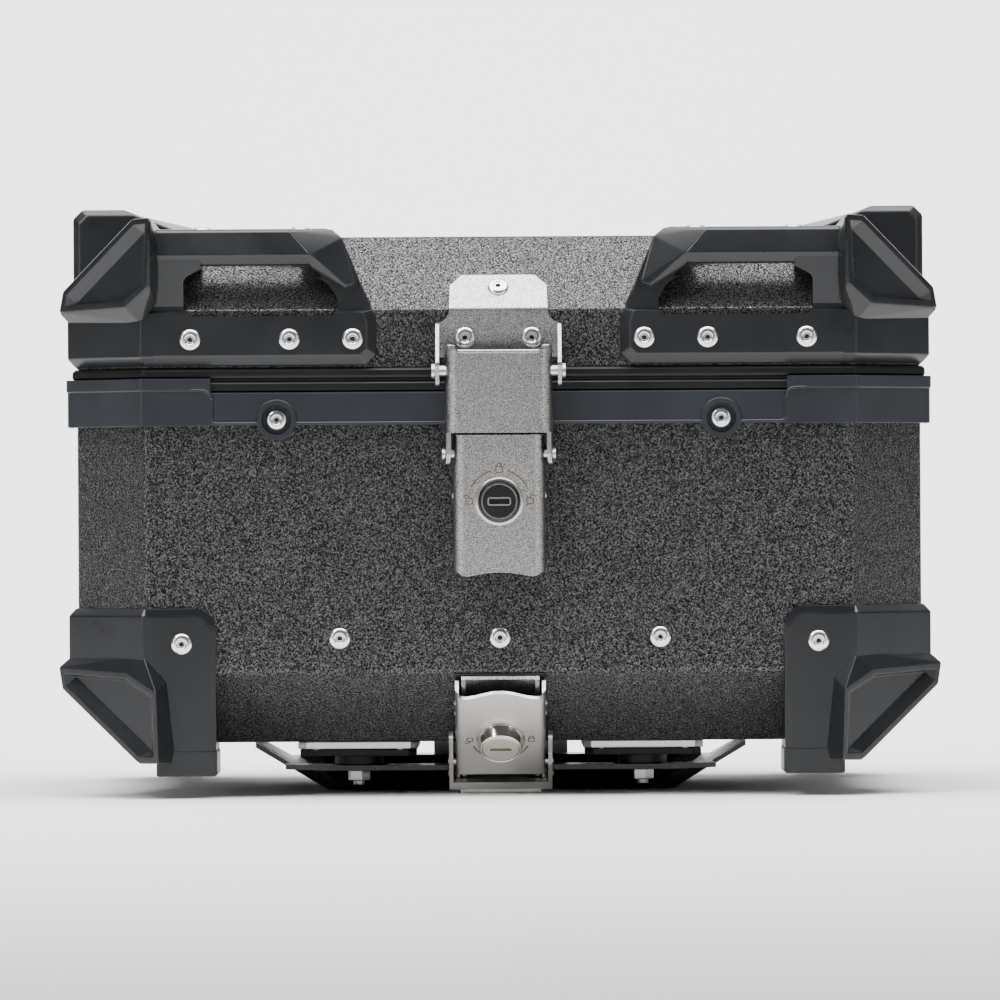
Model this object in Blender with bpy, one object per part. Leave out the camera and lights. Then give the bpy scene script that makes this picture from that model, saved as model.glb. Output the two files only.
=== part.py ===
"""Aluminium motorcycle top case on a quick-release base plate.

Metres, +Z up. The front of the case, with its locks, faces -Y.
The origin is the centre of the base plate's flat underside.
"""
import math

import bmesh
import bpy
from mathutils import Matrix, Vector

for old in list(bpy.data.objects):
    bpy.data.objects.remove(old, do_unlink=True)

MM = 0.001
FIT = 0.3 * MM

# Base plate and its damped mounts, stacked up from the ground
PLATE_T = 2.5 * MM
PLATE_LIFT = 11.2 * MM
PLATE_HALF_W = 108 * MM
PLATE_CORNER = 22 * MM
PLATE_STRIP = 30 * MM
PLATE_WING_REACH = 16 * MM
PLATE_WING_RISE = 10 * MM
PLATE_WING_HALF = 52 * MM
DISH_MARGIN = 4 * MM
DISH_SLOPE_X = 18 * MM
DISH_SLOPE_Y = 10 * MM
DISH_CORNER = 14 * MM
RACK_SLOT_X = 45 * MM
RACK_SLOT_Y = 30 * MM
RACK_SLOT_LENGTH = 26 * MM
RACK_SLOT_R = 3.5 * MM
MOUNT_X = 71 * MM
PAD_W = 60 * MM
PAD_D = 46 * MM
PAD_H = 3.7 * MM
PAD_CORNER = 4 * MM
BLOCK_W = 58 * MM
BLOCK_D = 42 * MM
BLOCK_H = 3.4 * MM
BOSS_R = 12.4 * MM
BOSS_H = 4.5 * MM
STUD_R = 3 * MM
NUT_R = 5.8 * MM
NUT_H = 5 * MM
STUD_TAIL = 2.2 * MM

# Case body, an eight-sided box with sloped lower edges
CASE_W = 418 * MM
CASE_D = 322 * MM
CORNER_CUT = 35 * MM
WALL = 2 * MM
BODY_H = 170.8 * MM
BODY_SLOPE_RISE = 35.1 * MM
BODY_SLOPE_SIDE = 35 * MM
BODY_SLOPE_FRONT = 40 * MM
SMALL_CORNER_CUT = 12 * MM
MAT_T = 3 * MM
MAT_MARGIN = 4 * MM

# Rim frame and seal
RIM_T = 3.8 * MM
RIM_DROP = 13.9 * MM
RIM_WEB = 2 * MM
RIM_INNER_DROP = 6 * MM
RIM_CAP_FRONT = 67.5 * MM
RIM_CAP_SIDE = 64 * MM
RIM_CAP_T = 0.6 * MM
RIM_LIP_T = 1.2 * MM
RIM_LIP_H = 5.8 * MM
RIM_CAP_RISE = 6.9 * MM
RIM_BOSS_X = 109.2 * MM
RIM_BOSS_R = 9.8 * MM
RIM_BOSS_T = 0.9 * MM
RIM_BOSS_UP = 2.6 * MM
SEAL_OUT = 2.5 * MM
SEAL_IN = 4 * MM
SEAL_H = 11.7 * MM
SEAL_GROOVE = 1.3 * MM

# Lid, with sloped upper edges
LID_WALL_H = 27.5 * MM
LID_SLOPE_RISE = 37.4 * MM
LID_SLOPE_SIDE = 37.4 * MM
LID_SLOPE_FRONT = 33 * MM

# Moulded corner guards
GUARD_T = 4.5 * MM
GUARD_BEVEL = 3.5 * MM
GUARD_PLANE = 12 * MM
GUARD_SINK = 2 * MM
GUARD_BURY = 45 * MM
LOWER_PLATE_W = 70.5 * MM
LOWER_REAR_W = 57 * MM
LOWER_PLATE_TOP = 67 * MM
LOWER_SIDE_LEN = 80 * MM
LOWER_ROUND = 11 * MM
FOOT_DROP = 15.4 * MM
FOOT_W = 30 * MM
WING_END_DROP = 9 * MM
LOWER_WING_UP = 37 * MM
DIAGONAL_GAP = 2.2 * MM
UPPER_WING_UP = 28.5 * MM
UPPER_PLATE_END = 60 * MM
UPPER_PLATE_LIFT = 0.8 * MM
UPPER_PLATE_BEVEL = 4.8 * MM
UPPER_PLATE_TOP = 26.5 * MM
UPPER_SIDE_LEN = 92 * MM
SHOULDER_TOP = 31 * MM
SHOULDER_BACK = 3.5 * MM
HANDLE_NOSE = 7 * MM
HANDLE_IN = 97 * MM
HANDLE_FOOT_IN = 84 * MM
HANDLE_SIDE = 41 * MM
HANDLE_POST_W = 12.5 * MM
HANDLE_POST_REACH = 9 * MM
HANDLE_TOP_IN = 83.8 * MM
HANDLE_END = 4 * MM
HANDLE_CHIN = 5.4 * MM
HANDLE_STEP = 3 * MM
HANDLE_ROUND = 5 * MM
HANDLE_ROOT = 20 * MM
HANDLE_KNEE = 10 * MM
NECK_H = 9 * MM
NECK_IN = 6 * MM
WING_ROOF_IN = 32 * MM
WING_ROOF_UP = 10 * MM
TOP_FLANGE_T = 3 * MM
TOP_FLANGE_D = 19 * MM
TOP_FLANGE_LAP = 17 * MM

# Wing outline on a guard's corner face: distance out past the case side, then distance from its flat edge
WING_EDGE = ((8.5, -1), (6.8, 10), (-29, 45.5), (-38, 45.5))
WING_FACE = ((4, 1), (-5, 9), (-31, 34.5), (-37.5, 34), (-37, 11.5), (-26, 0.6))
WING_ROOT = ((2.5, -7), (-33, -7.5), (0, 12), (-24, 36))
WING_FRONT = ((-45, 5), (-46.5, 13.5), (-46.5, 44))
WING_POCKET = ((-2.5, 3.4), (-8.4, 8.6), (-30.6, 30.2), (-34.4, 29.6), (-34.2, 12.8), (-24.6, 3.4))
WING_EDGE_DROP = 5 * MM
WING_POCKET_DEPTH = 3 * MM
# Handle bar section: distance out from the case front, then height over the lid's crease
BAR_SECTION = ((7, 28.3), (3, 22.9), (-6, 22.9), (-11, 28), (-11, 38), (-8.5, 40.7), (-1, 40.7), (2.5, 38.8))

# Rear lid guards
REAR_SIDE_OUT = 12.5 * MM
REAR_TOP = 21.7 * MM
REAR_TOP_IN = 22 * MM
REAR_ROUND = 4.8 * MM
REAR_BEVEL = 3 * MM
REAR_INNER = 62 * MM
REAR_SEAT = 3 * MM
REAR_LENGTH = 86 * MM
REAR_OUT = 5 * MM
REAR_CORNER = 36 * MM
REAR_CORNER_DROP = 10 * MM

# Rivets
RIVET_HEAD_R = 5.25 * MM
RIVET_HEAD_H = 2.2 * MM
RIVET_R = 2.4 * MM
RIVET_BULB_R = 3.3 * MM
RIVET_BULB_L = 3.5 * MM
SEAM_RIVET_X = 78.8 * MM
SEAM_RIVET_UP = 52 * MM
GUARD_RIVET_IN = 52.6 * MM
GUARD_RIVET_UP = 49.7 * MM
HASP_RIVET_X = 16.4 * MM
HASP_RIVET_DROP = 13.5 * MM
HASP_RIVET_RUN = 13.3 * MM

# Hasp on the lid: out is measured from the case front
SHEET = 1.8 * MM
BRACKET_T = 2 * MM
BRACKET_HALF = 23.8 * MM
BRACKET_WIDE = 31 * MM
BRACKET_LOW = 4.4 * MM
BRACKET_SHOULDER = 7 * MM
BRACKET_RUN = 21.6 * MM
BRACKET_CHAMFER = 7 * MM
HASP_PIN_OUT = 15 * MM
HASP_PIN_DROP = 2.5 * MM
HASP_PIN_R = 2.6 * MM
HASP_HEAD_R = 3.6 * MM
HASP_HEAD_T = 1.5 * MM
EAR_BACK = 7 * MM
EAR_LOW = 7.3 * MM
LINK_HALF = 26.3 * MM
LINK_BEND = 6.5 * MM
LINK_FACE = 6 * MM
LINK_UP = 10.4 * MM
LINK_EAR_UP = 12.8 * MM
LINK_DOWN = 30.4 * MM
LINK_BACK = 6.5 * MM
LINK_LIP = 5 * MM
LINK_EAR_OUT = 4 * MM
COVER_PIN_DOWN = 40.7 * MM
COVER_PIN_OUT = 13.5 * MM
COVER_PIN_R = 2 * MM
COVER_HALF = 22.6 * MM
COVER_BEND = 6 * MM
COVER_FACE = 5.1 * MM
COVER_UP = 9.3 * MM
COVER_DOWN = 60 * MM
COVER_BACK = 6.7 * MM
COVER_SLANT = 8 * MM
LEG_R = 5 * MM
LEG_FRONT = 3.9 * MM

# Turn lock in the cover
LOCK_DOWN = 23.3 * MM
WASHER_R = 11.75 * MM
WASHER_T = 1.1 * MM
BARREL_R = 10.25 * MM
BARREL_PROUD = 3 * MM
PLUG_R = 8.75 * MM
PLUG_LENGTH = 12.4 * MM
TAIL_R = 3.5 * MM
CAM_T = 1.6 * MM
CAM_GAP = 2.6 * MM
CAM_REACH = 18 * MM
CAM_HALF = 4.5 * MM
NUT_RING_R = 13.5 * MM
NUT_RING_T = 2.6 * MM
KEYWAY_W = 11 * MM
KEYWAY_H = 3.2 * MM
KEYWAY_DEPTH = 3 * MM
CATCH_HALF = 19 * MM
CATCH_UP = 9 * MM
CATCH_DOWN = 30 * MM
KEEPER_H = 6 * MM
KEEPER_T = 1.6 * MM
KEEPER_REACH = 8 * MM
KEEPER_LEG = 16 * MM

# Lever lock on the lower front slope: down runs down the slope from its upper edge, out stands off it
GASKET_HALF = 22 * MM
GASKET_T = 1.5 * MM
GASKET_TOP = 0.5 * MM
GASKET_END = 2.2 * MM
FRAME_HALF = 19.2 * MM
FRAME_T = 2 * MM
FRAME_TOP = 0.8 * MM
FRAME_BRIDGE = 24 * MM
FRAME_SILL = 7 * MM
RAIL_OUT = 9 * MM
FRAME_TONGUE_W = 9.4 * MM
FRAME_TONGUE_DOWN = 9 * MM
FRAME_TONGUE_H = 3 * MM
LEVER_HALF = 22.3 * MM
LEVER_FACE = 11.5 * MM
LEVER_BEND = 3.2 * MM
LEVER_TOP = 5.7 * MM
LEVER_EAR_TOP = 3 * MM
LEVER_END = 72.6 * MM
LEVER_BACK = 3 * MM
LEVER_PIN_DOWN = 69 * MM
LEVER_PIN_OUT = 6.2 * MM
LEVER_PIN_R = 1.8 * MM
CLAW_PIN_DOWN = 60 * MM
CLAW_PIN_OUT = 7 * MM
CLAW_PIN_R = 1.8 * MM
CLAW_GAP = 1.3 * MM
CLAW_T = 2 * MM
CLAW_TOP = 51 * MM
CLAW_END = 76 * MM
CLAW_BACK = 2 * MM
CLAW_FACE = 12.5 * MM
CLAW_HOOK_HALF = 20 * MM
CLAW_HOOK_LAP = 8 * MM
CLAW_CLEAR = 6 * MM
CLAW_LIP_T = 2 * MM
BASE_LOCK_DOWN = 38.3 * MM
CONE_R = 12.15 * MM
CONE_TOP_R = 9.9 * MM
CONE_H = 6.5 * MM
CONE_STEP = 0.6 * MM
BASE_BARREL_R = 10.4 * MM
BASE_PLUG_R = 9 * MM
BASE_KEYWAY_H = 2 * MM
BASE_CAM_T = 1.6 * MM
BASE_CAM_OUT = 5.6 * MM
BASE_CAM_REACH = 18.6 * MM
BASE_CAM_HALF = 4.2 * MM
BASE_TAIL_R = 2.5 * MM
RAIL_SLOT_MARGIN = 0.4 * MM

# Rear hook and hinge
HOOK_HALF = 35 * MM
HOOK_T = 2 * MM
HOOK_LAP = 8 * MM
HOOK_FOOT = 24 * MM
HINGE_OUT = 9 * MM
HINGE_HALF = 120 * MM
HINGE_KNUCKLES = 5
HINGE_R = 4.2 * MM
HINGE_PIN_R = 2 * MM
LEAF_T = 2 * MM
LEAF_DROP = 27 * MM
LEAF_RISE = 24 * MM
LEAF_LIFT = 2.2 * MM
LEAF_CLEAR = 0.4 * MM

# Heights and places that follow from the sizes above
HALF_W = CASE_W / 2
HALF_D = CASE_D / 2
PLATE_TOP = PLATE_LIFT + PLATE_T
BOSS_BOTTOM = PLATE_TOP + FIT
BLOCK_BOTTOM = BOSS_BOTTOM + BOSS_H
PAD_BOTTOM = BLOCK_BOTTOM + BLOCK_H + FIT
BODY_BOTTOM = PAD_BOTTOM + PAD_H + FIT
BODY_CREASE = BODY_BOTTOM + BODY_SLOPE_RISE
BODY_TOP = BODY_BOTTOM + BODY_H
RIM_TOP = BODY_TOP + FIT + RIM_WEB
RIM_BOTTOM = BODY_TOP - RIM_DROP
SEAL_BOTTOM = RIM_TOP + FIT
SEAL_TOP = SEAL_BOTTOM + SEAL_H
LID_BOTTOM = SEAL_TOP + FIT
LID_CREASE = LID_BOTTOM + LID_WALL_H
LID_TOP = LID_CREASE + LID_SLOPE_RISE
RIM_OUT = FIT + RIM_T
CORNER_SUM = HALF_W + HALF_D - CORNER_CUT
HANDLE_OUT = HALF_W - HANDLE_SIDE
HANDLE_POST_IN = HANDLE_OUT - HANDLE_POST_W
HASP_PIN_Z = LID_BOTTOM - HASP_PIN_DROP
COVER_PIN_Z = HASP_PIN_Z - COVER_PIN_DOWN
LOCK_Z = COVER_PIN_Z - LOCK_DOWN
COVER_OUT = COVER_PIN_OUT + COVER_FACE
BARREL_BACK = COVER_OUT + BARREL_PROUD - PLUG_LENGTH
CAM_FRONT = BARREL_BACK - CAM_GAP
HINGE_Y = HALF_D + max(HINGE_OUT, RIM_OUT + FIT)
HINGE_Z = LID_BOTTOM - FIT / 2
SLOPE_LENGTH = math.hypot(BODY_SLOPE_FRONT, BODY_SLOPE_RISE)
FRAME_BASE = FIT + GASKET_T + FIT
CLAW_INNER = LEVER_HALF + CLAW_GAP

# Directions on the lower front slope: down it and out of it
SLOPE_DOWN = Vector((0, BODY_SLOPE_FRONT, -BODY_SLOPE_RISE)) / SLOPE_LENGTH
SLOPE_OUT = Vector((0, -BODY_SLOPE_RISE, -BODY_SLOPE_FRONT)) / SLOPE_LENGTH
# Directions on the lid's front slope: up it and out of it
LID_SLOPE_UP = Vector((0, LID_SLOPE_FRONT, LID_SLOPE_RISE)).normalized()
LID_SLOPE_OUT = Vector((0, -LID_SLOPE_RISE, LID_SLOPE_FRONT)).normalized()
FRONT_OUT = Vector((0, -1, 0))


def on_front(x, out, z):
    """Point at a distance out from the case front."""
    return Vector((x, -HALF_D - out, z))


def on_rear(x, out, z):
    """Point at a distance out from the case rear."""
    return Vector((x, HALF_D + out, z))


def on_slope(x, down, out):
    """Point on the lower front slope."""
    return Vector((x, -HALF_D, BODY_CREASE)) + SLOPE_DOWN * down + SLOPE_OUT * out


def on_lid_slope(x, up, out):
    """Point on the lid's front slope."""
    return Vector((x, -HALF_D, LID_CREASE)) + LID_SLOPE_UP * up + LID_SLOPE_OUT * out


CLAW_HEEL_Y = on_slope(0, CLAW_END, CLAW_BACK).y
PLATE_HALF_D = -(CLAW_HEEL_Y + CLAW_CLEAR)
DISH_HALF_W = PLATE_HALF_W - DISH_MARGIN
DISH_HALF_D = PLATE_HALF_D - PLATE_STRIP
MOUNT_Y = PLATE_HALF_D - PLATE_STRIP / 2

FINISHES = {
    "hammer_coat": ((0.045, 0.045, 0.047), 0.45, 0.35),
    "black_abs": ((0.018, 0.019, 0.021), 0.5, 0.0),
    "stainless": ((0.62, 0.61, 0.58), 0.35, 1.0),
    "rivet_aluminium": ((0.8, 0.81, 0.82), 0.3, 1.0),
    "pad_aluminium": ((0.75, 0.75, 0.74), 0.4, 1.0),
    "rubber": ((0.012, 0.012, 0.012), 0.75, 0.0),
    "plate_steel": ((0.02, 0.02, 0.021), 0.4, 0.3),
    "zinc": ((0.55, 0.55, 0.53), 0.4, 1.0),
    "lock_black": ((0.01, 0.01, 0.011), 0.25, 0.2),
    "lock_nickel": ((0.66, 0.63, 0.56), 0.25, 1.0),
    "mat_foam": ((0.03, 0.03, 0.032), 0.9, 0.0),
}


def finish(name):
    """Material of a finish, made the first time it is asked for."""
    known = bpy.data.materials.get(name)
    if known:
        return known
    colour, roughness, metallic = FINISHES[name]
    material = bpy.data.materials.new(name)
    material.use_nodes = True
    shader = material.node_tree.nodes["Principled BSDF"]
    shader.inputs["Base Color"].default_value = (*colour, 1.0)
    shader.inputs["Roughness"].default_value = roughness
    shader.inputs["Metallic"].default_value = metallic
    material.diffuse_color = (*colour, 1.0)
    return material


def axis_empty(name, point, parent=None):
    """Empty on a joint's axis that the pieces of a body hang from."""
    empty = bpy.data.objects.new(name, None)
    bpy.context.scene.collection.objects.link(empty)
    base = Vector(parent["place"]) if parent else Vector()
    empty["place"] = tuple(point)
    empty.location = Vector(point) - base
    empty.parent = parent
    return empty


def solid(name, mesh_build, body=None, coat=None):
    """Object from a bmesh: a node if it has a body and a finish, otherwise a hidden tool shape."""
    bmesh.ops.remove_doubles(mesh_build, verts=mesh_build.verts, dist=0.001 * MM)
    bmesh.ops.recalc_face_normals(mesh_build, faces=mesh_build.faces)
    mesh = bpy.data.meshes.new(name)
    mesh_build.to_mesh(mesh)
    mesh_build.free()
    item = bpy.data.objects.new(name, mesh)
    bpy.context.scene.collection.objects.link(item)
    if body:
        mesh.transform(Matrix.Translation(-Vector(body["place"])))
        item.parent = body
        mesh.materials.append(finish(coat))
    else:
        item.hide_render = True
        item.display_type = 'WIRE'
    return item


def combine(target, tool, operation):
    """Boolean of a tool shape on a piece."""
    step = target.modifiers.new(operation.lower(), 'BOOLEAN')
    step.operation = operation
    step.solver = 'EXACT'
    step.object = tool
    return target


def cut(target, *tools):
    """Take tool shapes out of a piece."""
    for tool in tools:
        combine(target, tool, 'DIFFERENCE')
    return target


def weld(target, *tools):
    """Join tool shapes to a piece."""
    for tool in tools:
        combine(target, tool, 'UNION')
    return target


def trim(target, tool):
    """Keep only what a tool shape covers of a piece."""
    return combine(target, tool, 'INTERSECT')


def loft(rings, closed=False):
    """Closed shape through rings of points; a closed loft runs back into its first ring."""
    build = bmesh.new()
    rows = [[build.verts.new(point) for point in ring] for ring in rings]
    count = len(rows[0])
    pairs = list(zip(rows, rows[1:]))
    if closed:
        pairs.append((rows[-1], rows[0]))
    for low, high in pairs:
        for k in range(count):
            after = (k + 1) % count
            build.faces.new((low[k], low[after], high[after], high[k]))
    if not closed:
        build.faces.new(reversed(rows[0]))
        build.faces.new(rows[-1])
    return build


def prism(outline, low, high, place):
    """Outline of (p, q) points drawn out from low to high, placed by a function of (p, q, height)."""
    return loft([[place(p, q, level) for p, q in outline] for level in (low, high)])


def box(low, high):
    """Box between two corners."""
    outline = ((low[0], low[1]), (high[0], low[1]), (high[0], high[1]), (low[0], high[1]))
    return prism(outline, low[2], high[2], lambda p, q, level: Vector((p, q, level)))


def hull(points):
    """Smallest convex shape round points."""
    build = bmesh.new()
    for point in points:
        build.verts.new(point)
    result = bmesh.ops.convex_hull(build, input=build.verts)
    spare = [item for item in result["geom_interior"] if isinstance(item, bmesh.types.BMVert)]
    bmesh.ops.delete(build, geom=spare, context='VERTS')
    bmesh.ops.dissolve_limit(build, angle_limit=math.radians(0.2), verts=build.verts, edges=build.edges)
    return build


def turned(profile, base, axis, sides=16, bored=False):
    """Shape turned about an axis from (radius, height) points; a bored one joins its last to its first."""
    axis = Vector(axis).normalized()
    across = axis.orthogonal().normalized()
    build = bmesh.new()
    rows = []
    for radius, height in profile:
        centre = Vector(base) + axis * height
        if radius == 0:
            rows.append([build.verts.new(centre)])
            continue
        row = []
        for k in range(sides):
            arm = Matrix.Rotation(2 * math.pi * k / sides, 3, axis) @ across
            row.append(build.verts.new(centre + arm * radius))
        rows.append(row)
    pairs = list(zip(rows, rows[1:]))
    if bored:
        pairs.append((rows[-1], rows[0]))
    for low, high in pairs:
        for k in range(sides):
            after = (k + 1) % sides
            corners = [low[k % len(low)], low[after % len(low)], high[after % len(high)], high[k % len(high)]]
            build.faces.new(list(dict.fromkeys(corners)))
    return build


def drill(name, base, axis, radius, depth):
    """Hidden round drill from a point back along an axis, its flats no nearer than the radius."""
    sides = 24 if radius > STUD_R * 2 else 12
    reach = radius / math.cos(math.pi / sides)
    profile = ((0, FIT * 2), (reach, FIT * 2), (reach, -depth), (0, -depth))
    return solid(name, turned(profile, base, axis, sides))


def octagon(half_x, half_y, corner):
    """Rectangle with cut corners, from the front left, going round to the right."""
    return [(-half_x + corner, -half_y), (half_x - corner, -half_y),
            (half_x, -half_y + corner), (half_x, half_y - corner),
            (half_x - corner, half_y), (-half_x + corner, half_y),
            (-half_x, half_y - corner), (-half_x, -half_y + corner)]


def at_height(outline, z):
    """Flat outline lifted to a height."""
    return [Vector((x, y, z)) for x, y in outline]


def case_outline(grow):
    """Plan of the case walls, grown outwards by a distance."""
    return octagon(HALF_W + grow, HALF_D + grow, CORNER_CUT + grow * (2 - math.sqrt(2)))


def body_rings(grow):
    """Outer surface of the body, grown outwards: bottom, slope edge and top."""
    floor = octagon(HALF_W - BODY_SLOPE_SIDE + grow, HALF_D - BODY_SLOPE_FRONT + grow, SMALL_CORNER_CUT)
    return [at_height(floor, BODY_BOTTOM - grow),
            at_height(case_outline(grow), BODY_CREASE),
            at_height(case_outline(grow), BODY_TOP)]


def lid_rings(grow):
    """Outer surface of the lid, grown outwards: lower edge, slope edge and top."""
    roof = octagon(HALF_W - LID_SLOPE_SIDE + grow, HALF_D - LID_SLOPE_FRONT + grow, SMALL_CORNER_CUT)
    return [at_height(case_outline(grow), LID_BOTTOM),
            at_height(case_outline(grow), LID_CREASE),
            at_height(roof, LID_TOP + grow)]


def arc(centre, radius, start, end, steps=4):
    """Points on an arc, angles in degrees."""
    angles = [math.radians(start + (end - start) * k / steps) for k in range(steps + 1)]
    return [(centre[0] + radius * math.cos(t), centre[1] + radius * math.sin(t)) for t in angles]


def channel(half, back, face, sheet, bend):
    """U section of bent sheet: (across, out) points, open towards the case."""
    inner = bend - sheet
    outline = [(-half, back)]
    outline += arc((-half + bend, face - bend), bend, 180, 90, 3)
    outline += arc((half - bend, face - bend), bend, 90, 0, 3)
    outline += [(half, back), (half - sheet, back)]
    outline += arc((half - bend, face - bend), inner, 0, 90, 3)
    outline += arc((-half + bend, face - bend), inner, 90, 180, 3)
    outline.append((-half + sheet, back))
    return outline


# Bodies
case = axis_empty("case_frame", (0, 0, 0))
lid = axis_empty("lid_axis", (0, HINGE_Y, HINGE_Z), case)
link = axis_empty("link_axis", on_front(0, HASP_PIN_OUT, HASP_PIN_Z), lid)
cover = axis_empty("cover_axis", on_front(0, COVER_PIN_OUT, COVER_PIN_Z), link)
plug = axis_empty("plug_axis", on_front(0, COVER_OUT, LOCK_Z), cover)
lever = axis_empty("lever_axis", on_slope(0, LEVER_PIN_DOWN, LEVER_PIN_OUT), case)
base_plug = axis_empty("base_plug_axis", on_slope(0, BASE_LOCK_DOWN, LEVER_FACE), lever)
claw = axis_empty("claw_axis", on_slope(0, CLAW_PIN_DOWN, CLAW_PIN_OUT), lever)


def rivet(name, body, seat, axis, grip):
    """Blind rivet: head on a seat, shank through the sheets and a bulb behind them."""
    profile = ((0, RIVET_HEAD_H), (RIVET_HEAD_R * 0.45, RIVET_HEAD_H),
               (RIVET_HEAD_R * 0.85, RIVET_HEAD_H * 0.7), (RIVET_HEAD_R, FIT), (RIVET_HEAD_R, 0), (RIVET_R, 0),
               (RIVET_R, -grip),
               (RIVET_BULB_R, -grip - FIT), (RIVET_BULB_R, -grip - RIVET_BULB_L), (0, -grip - RIVET_BULB_L))
    start = Vector(seat) + Vector(axis) * FIT
    return solid(name, turned(profile, start, axis, sides=12), body, "rivet_aluminium")


def rivet_drill(name, seat, axis, depth):
    """Drill for a rivet's hole."""
    return drill(name, seat, axis, RIVET_R + FIT, depth)


# Case body and lid shells
def body_shell():
    """Open-topped body with rivet holes."""
    bottom, crease, top = body_rings(0)
    inner_floor = octagon(HALF_W - BODY_SLOPE_SIDE - WALL * 0.4, HALF_D - BODY_SLOPE_FRONT - WALL * 0.4,
                          SMALL_CORNER_CUT)
    rings = [bottom, crease, top, at_height(case_outline(-WALL), BODY_TOP),
             at_height(case_outline(-WALL), BODY_CREASE + WALL * 0.4),
             at_height(inner_floor, BODY_BOTTOM + WALL)]
    shell = solid("body_shell", loft(rings), case, "hammer_coat")
    for k, (x, z) in enumerate(seam_places() + guard_rivet_places() + rim_rivet_places()):
        cut(shell, rivet_drill(f"cut_body_rivet_{k}", on_front(x, 0, z), FRONT_OUT, WALL * 3))
    return shell


def lid_shell():
    """Lid with its holes for the hasp rivets."""
    bottom, crease, top = lid_rings(0)
    inner_roof = octagon(HALF_W - LID_SLOPE_SIDE - WALL * 0.4, HALF_D - LID_SLOPE_FRONT - WALL * 0.4,
                         SMALL_CORNER_CUT)
    rings = [at_height(inner_roof, LID_TOP - WALL), at_height(case_outline(-WALL), LID_CREASE - WALL * 0.4),
             at_height(case_outline(-WALL), LID_BOTTOM), bottom, crease, top]
    shell = solid("lid_shell", loft(rings), lid, "hammer_coat")
    for k, (seat, axis) in enumerate(hasp_rivet_places(0)):
        cut(shell, rivet_drill(f"cut_lid_rivet_{k}", seat, axis, WALL * 3))
    return shell


def seam_places():
    """Seam rivets: (x, z) on the case front."""
    return [(x, BODY_BOTTOM + SEAM_RIVET_UP) for x in (-SEAM_RIVET_X, 0, SEAM_RIVET_X)]


def guard_rivet_places():
    """Lower guard rivets: (x, z) on the case front."""
    return [(side * (HALF_W - GUARD_RIVET_IN), BODY_BOTTOM + GUARD_RIVET_UP) for side in (-1, 1)]


def rim_rivet_places():
    """Rim rivets: (x, z) on the case front."""
    return [(side * RIM_BOSS_X, RIM_BOTTOM + RIM_BOSS_UP) for side in (-1, 1)]


def hasp_rivet_places(out):
    """Hasp bracket rivets: seats and directions, at a distance out from the lid."""
    wall = [(on_front(x, out, LID_CREASE - HASP_RIVET_DROP), FRONT_OUT) for x in (-HASP_RIVET_X, HASP_RIVET_X)]
    return wall + [(on_lid_slope(0, HASP_RIVET_RUN, out), LID_SLOPE_OUT)]


def case_rivets():
    """Rivets on the front of the body."""
    names = ("seam_rivet_left", "seam_rivet_middle", "seam_rivet_right")
    for name, (x, z) in zip(names, seam_places()):
        rivet(name, case, on_front(x, 0, z), FRONT_OUT, WALL + FIT)
    for name, (x, z) in zip(("guard_rivet_left", "guard_rivet_right"), guard_rivet_places()):
        rivet(name, case, on_front(x, GUARD_T, z), FRONT_OUT, GUARD_T + WALL + FIT)
    for name, (x, z) in zip(("rim_rivet_left", "rim_rivet_right"), rim_rivet_places()):
        boss = RIM_OUT + RIM_BOSS_T
        rivet(name, case, on_front(x, boss, z), FRONT_OUT, boss + WALL + FIT)


def floor_mat():
    """Soft mat on the floor of the case."""
    outline = octagon(HALF_W - BODY_SLOPE_SIDE - MAT_MARGIN, HALF_D - BODY_SLOPE_FRONT - MAT_MARGIN,
                      SMALL_CORNER_CUT)
    low = BODY_BOTTOM + WALL + FIT
    rings = [at_height(outline, low), at_height(outline, low + MAT_T)]
    return solid("floor_mat", loft(rings), case, "mat_foam")


# Rim frame and seal
def hoop(section):
    """Ring round the case from a section of (out, z) points."""
    return loft([at_height(case_outline(out), z) for out, z in section], closed=True)


def corner_band(side, end, inner, levels):
    """Band round one corner of the case; levels are (z, outer distance)."""
    rings = []
    for z, outer in levels:
        points = []
        for grow in (inner, outer):
            cut_back = CORNER_CUT + grow * (2 - math.sqrt(2))
            wide, deep = HALF_W + grow, HALF_D + grow
            run = [(HALF_W - RIM_CAP_FRONT, deep), (wide - cut_back, deep),
                   (wide, deep - cut_back), (wide, HALF_D - RIM_CAP_SIDE)]
            points += run if grow == outer else reversed(run)
        rings.append([Vector((side * a, end * b, z)) for a, b in points])
    return loft(rings)


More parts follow.
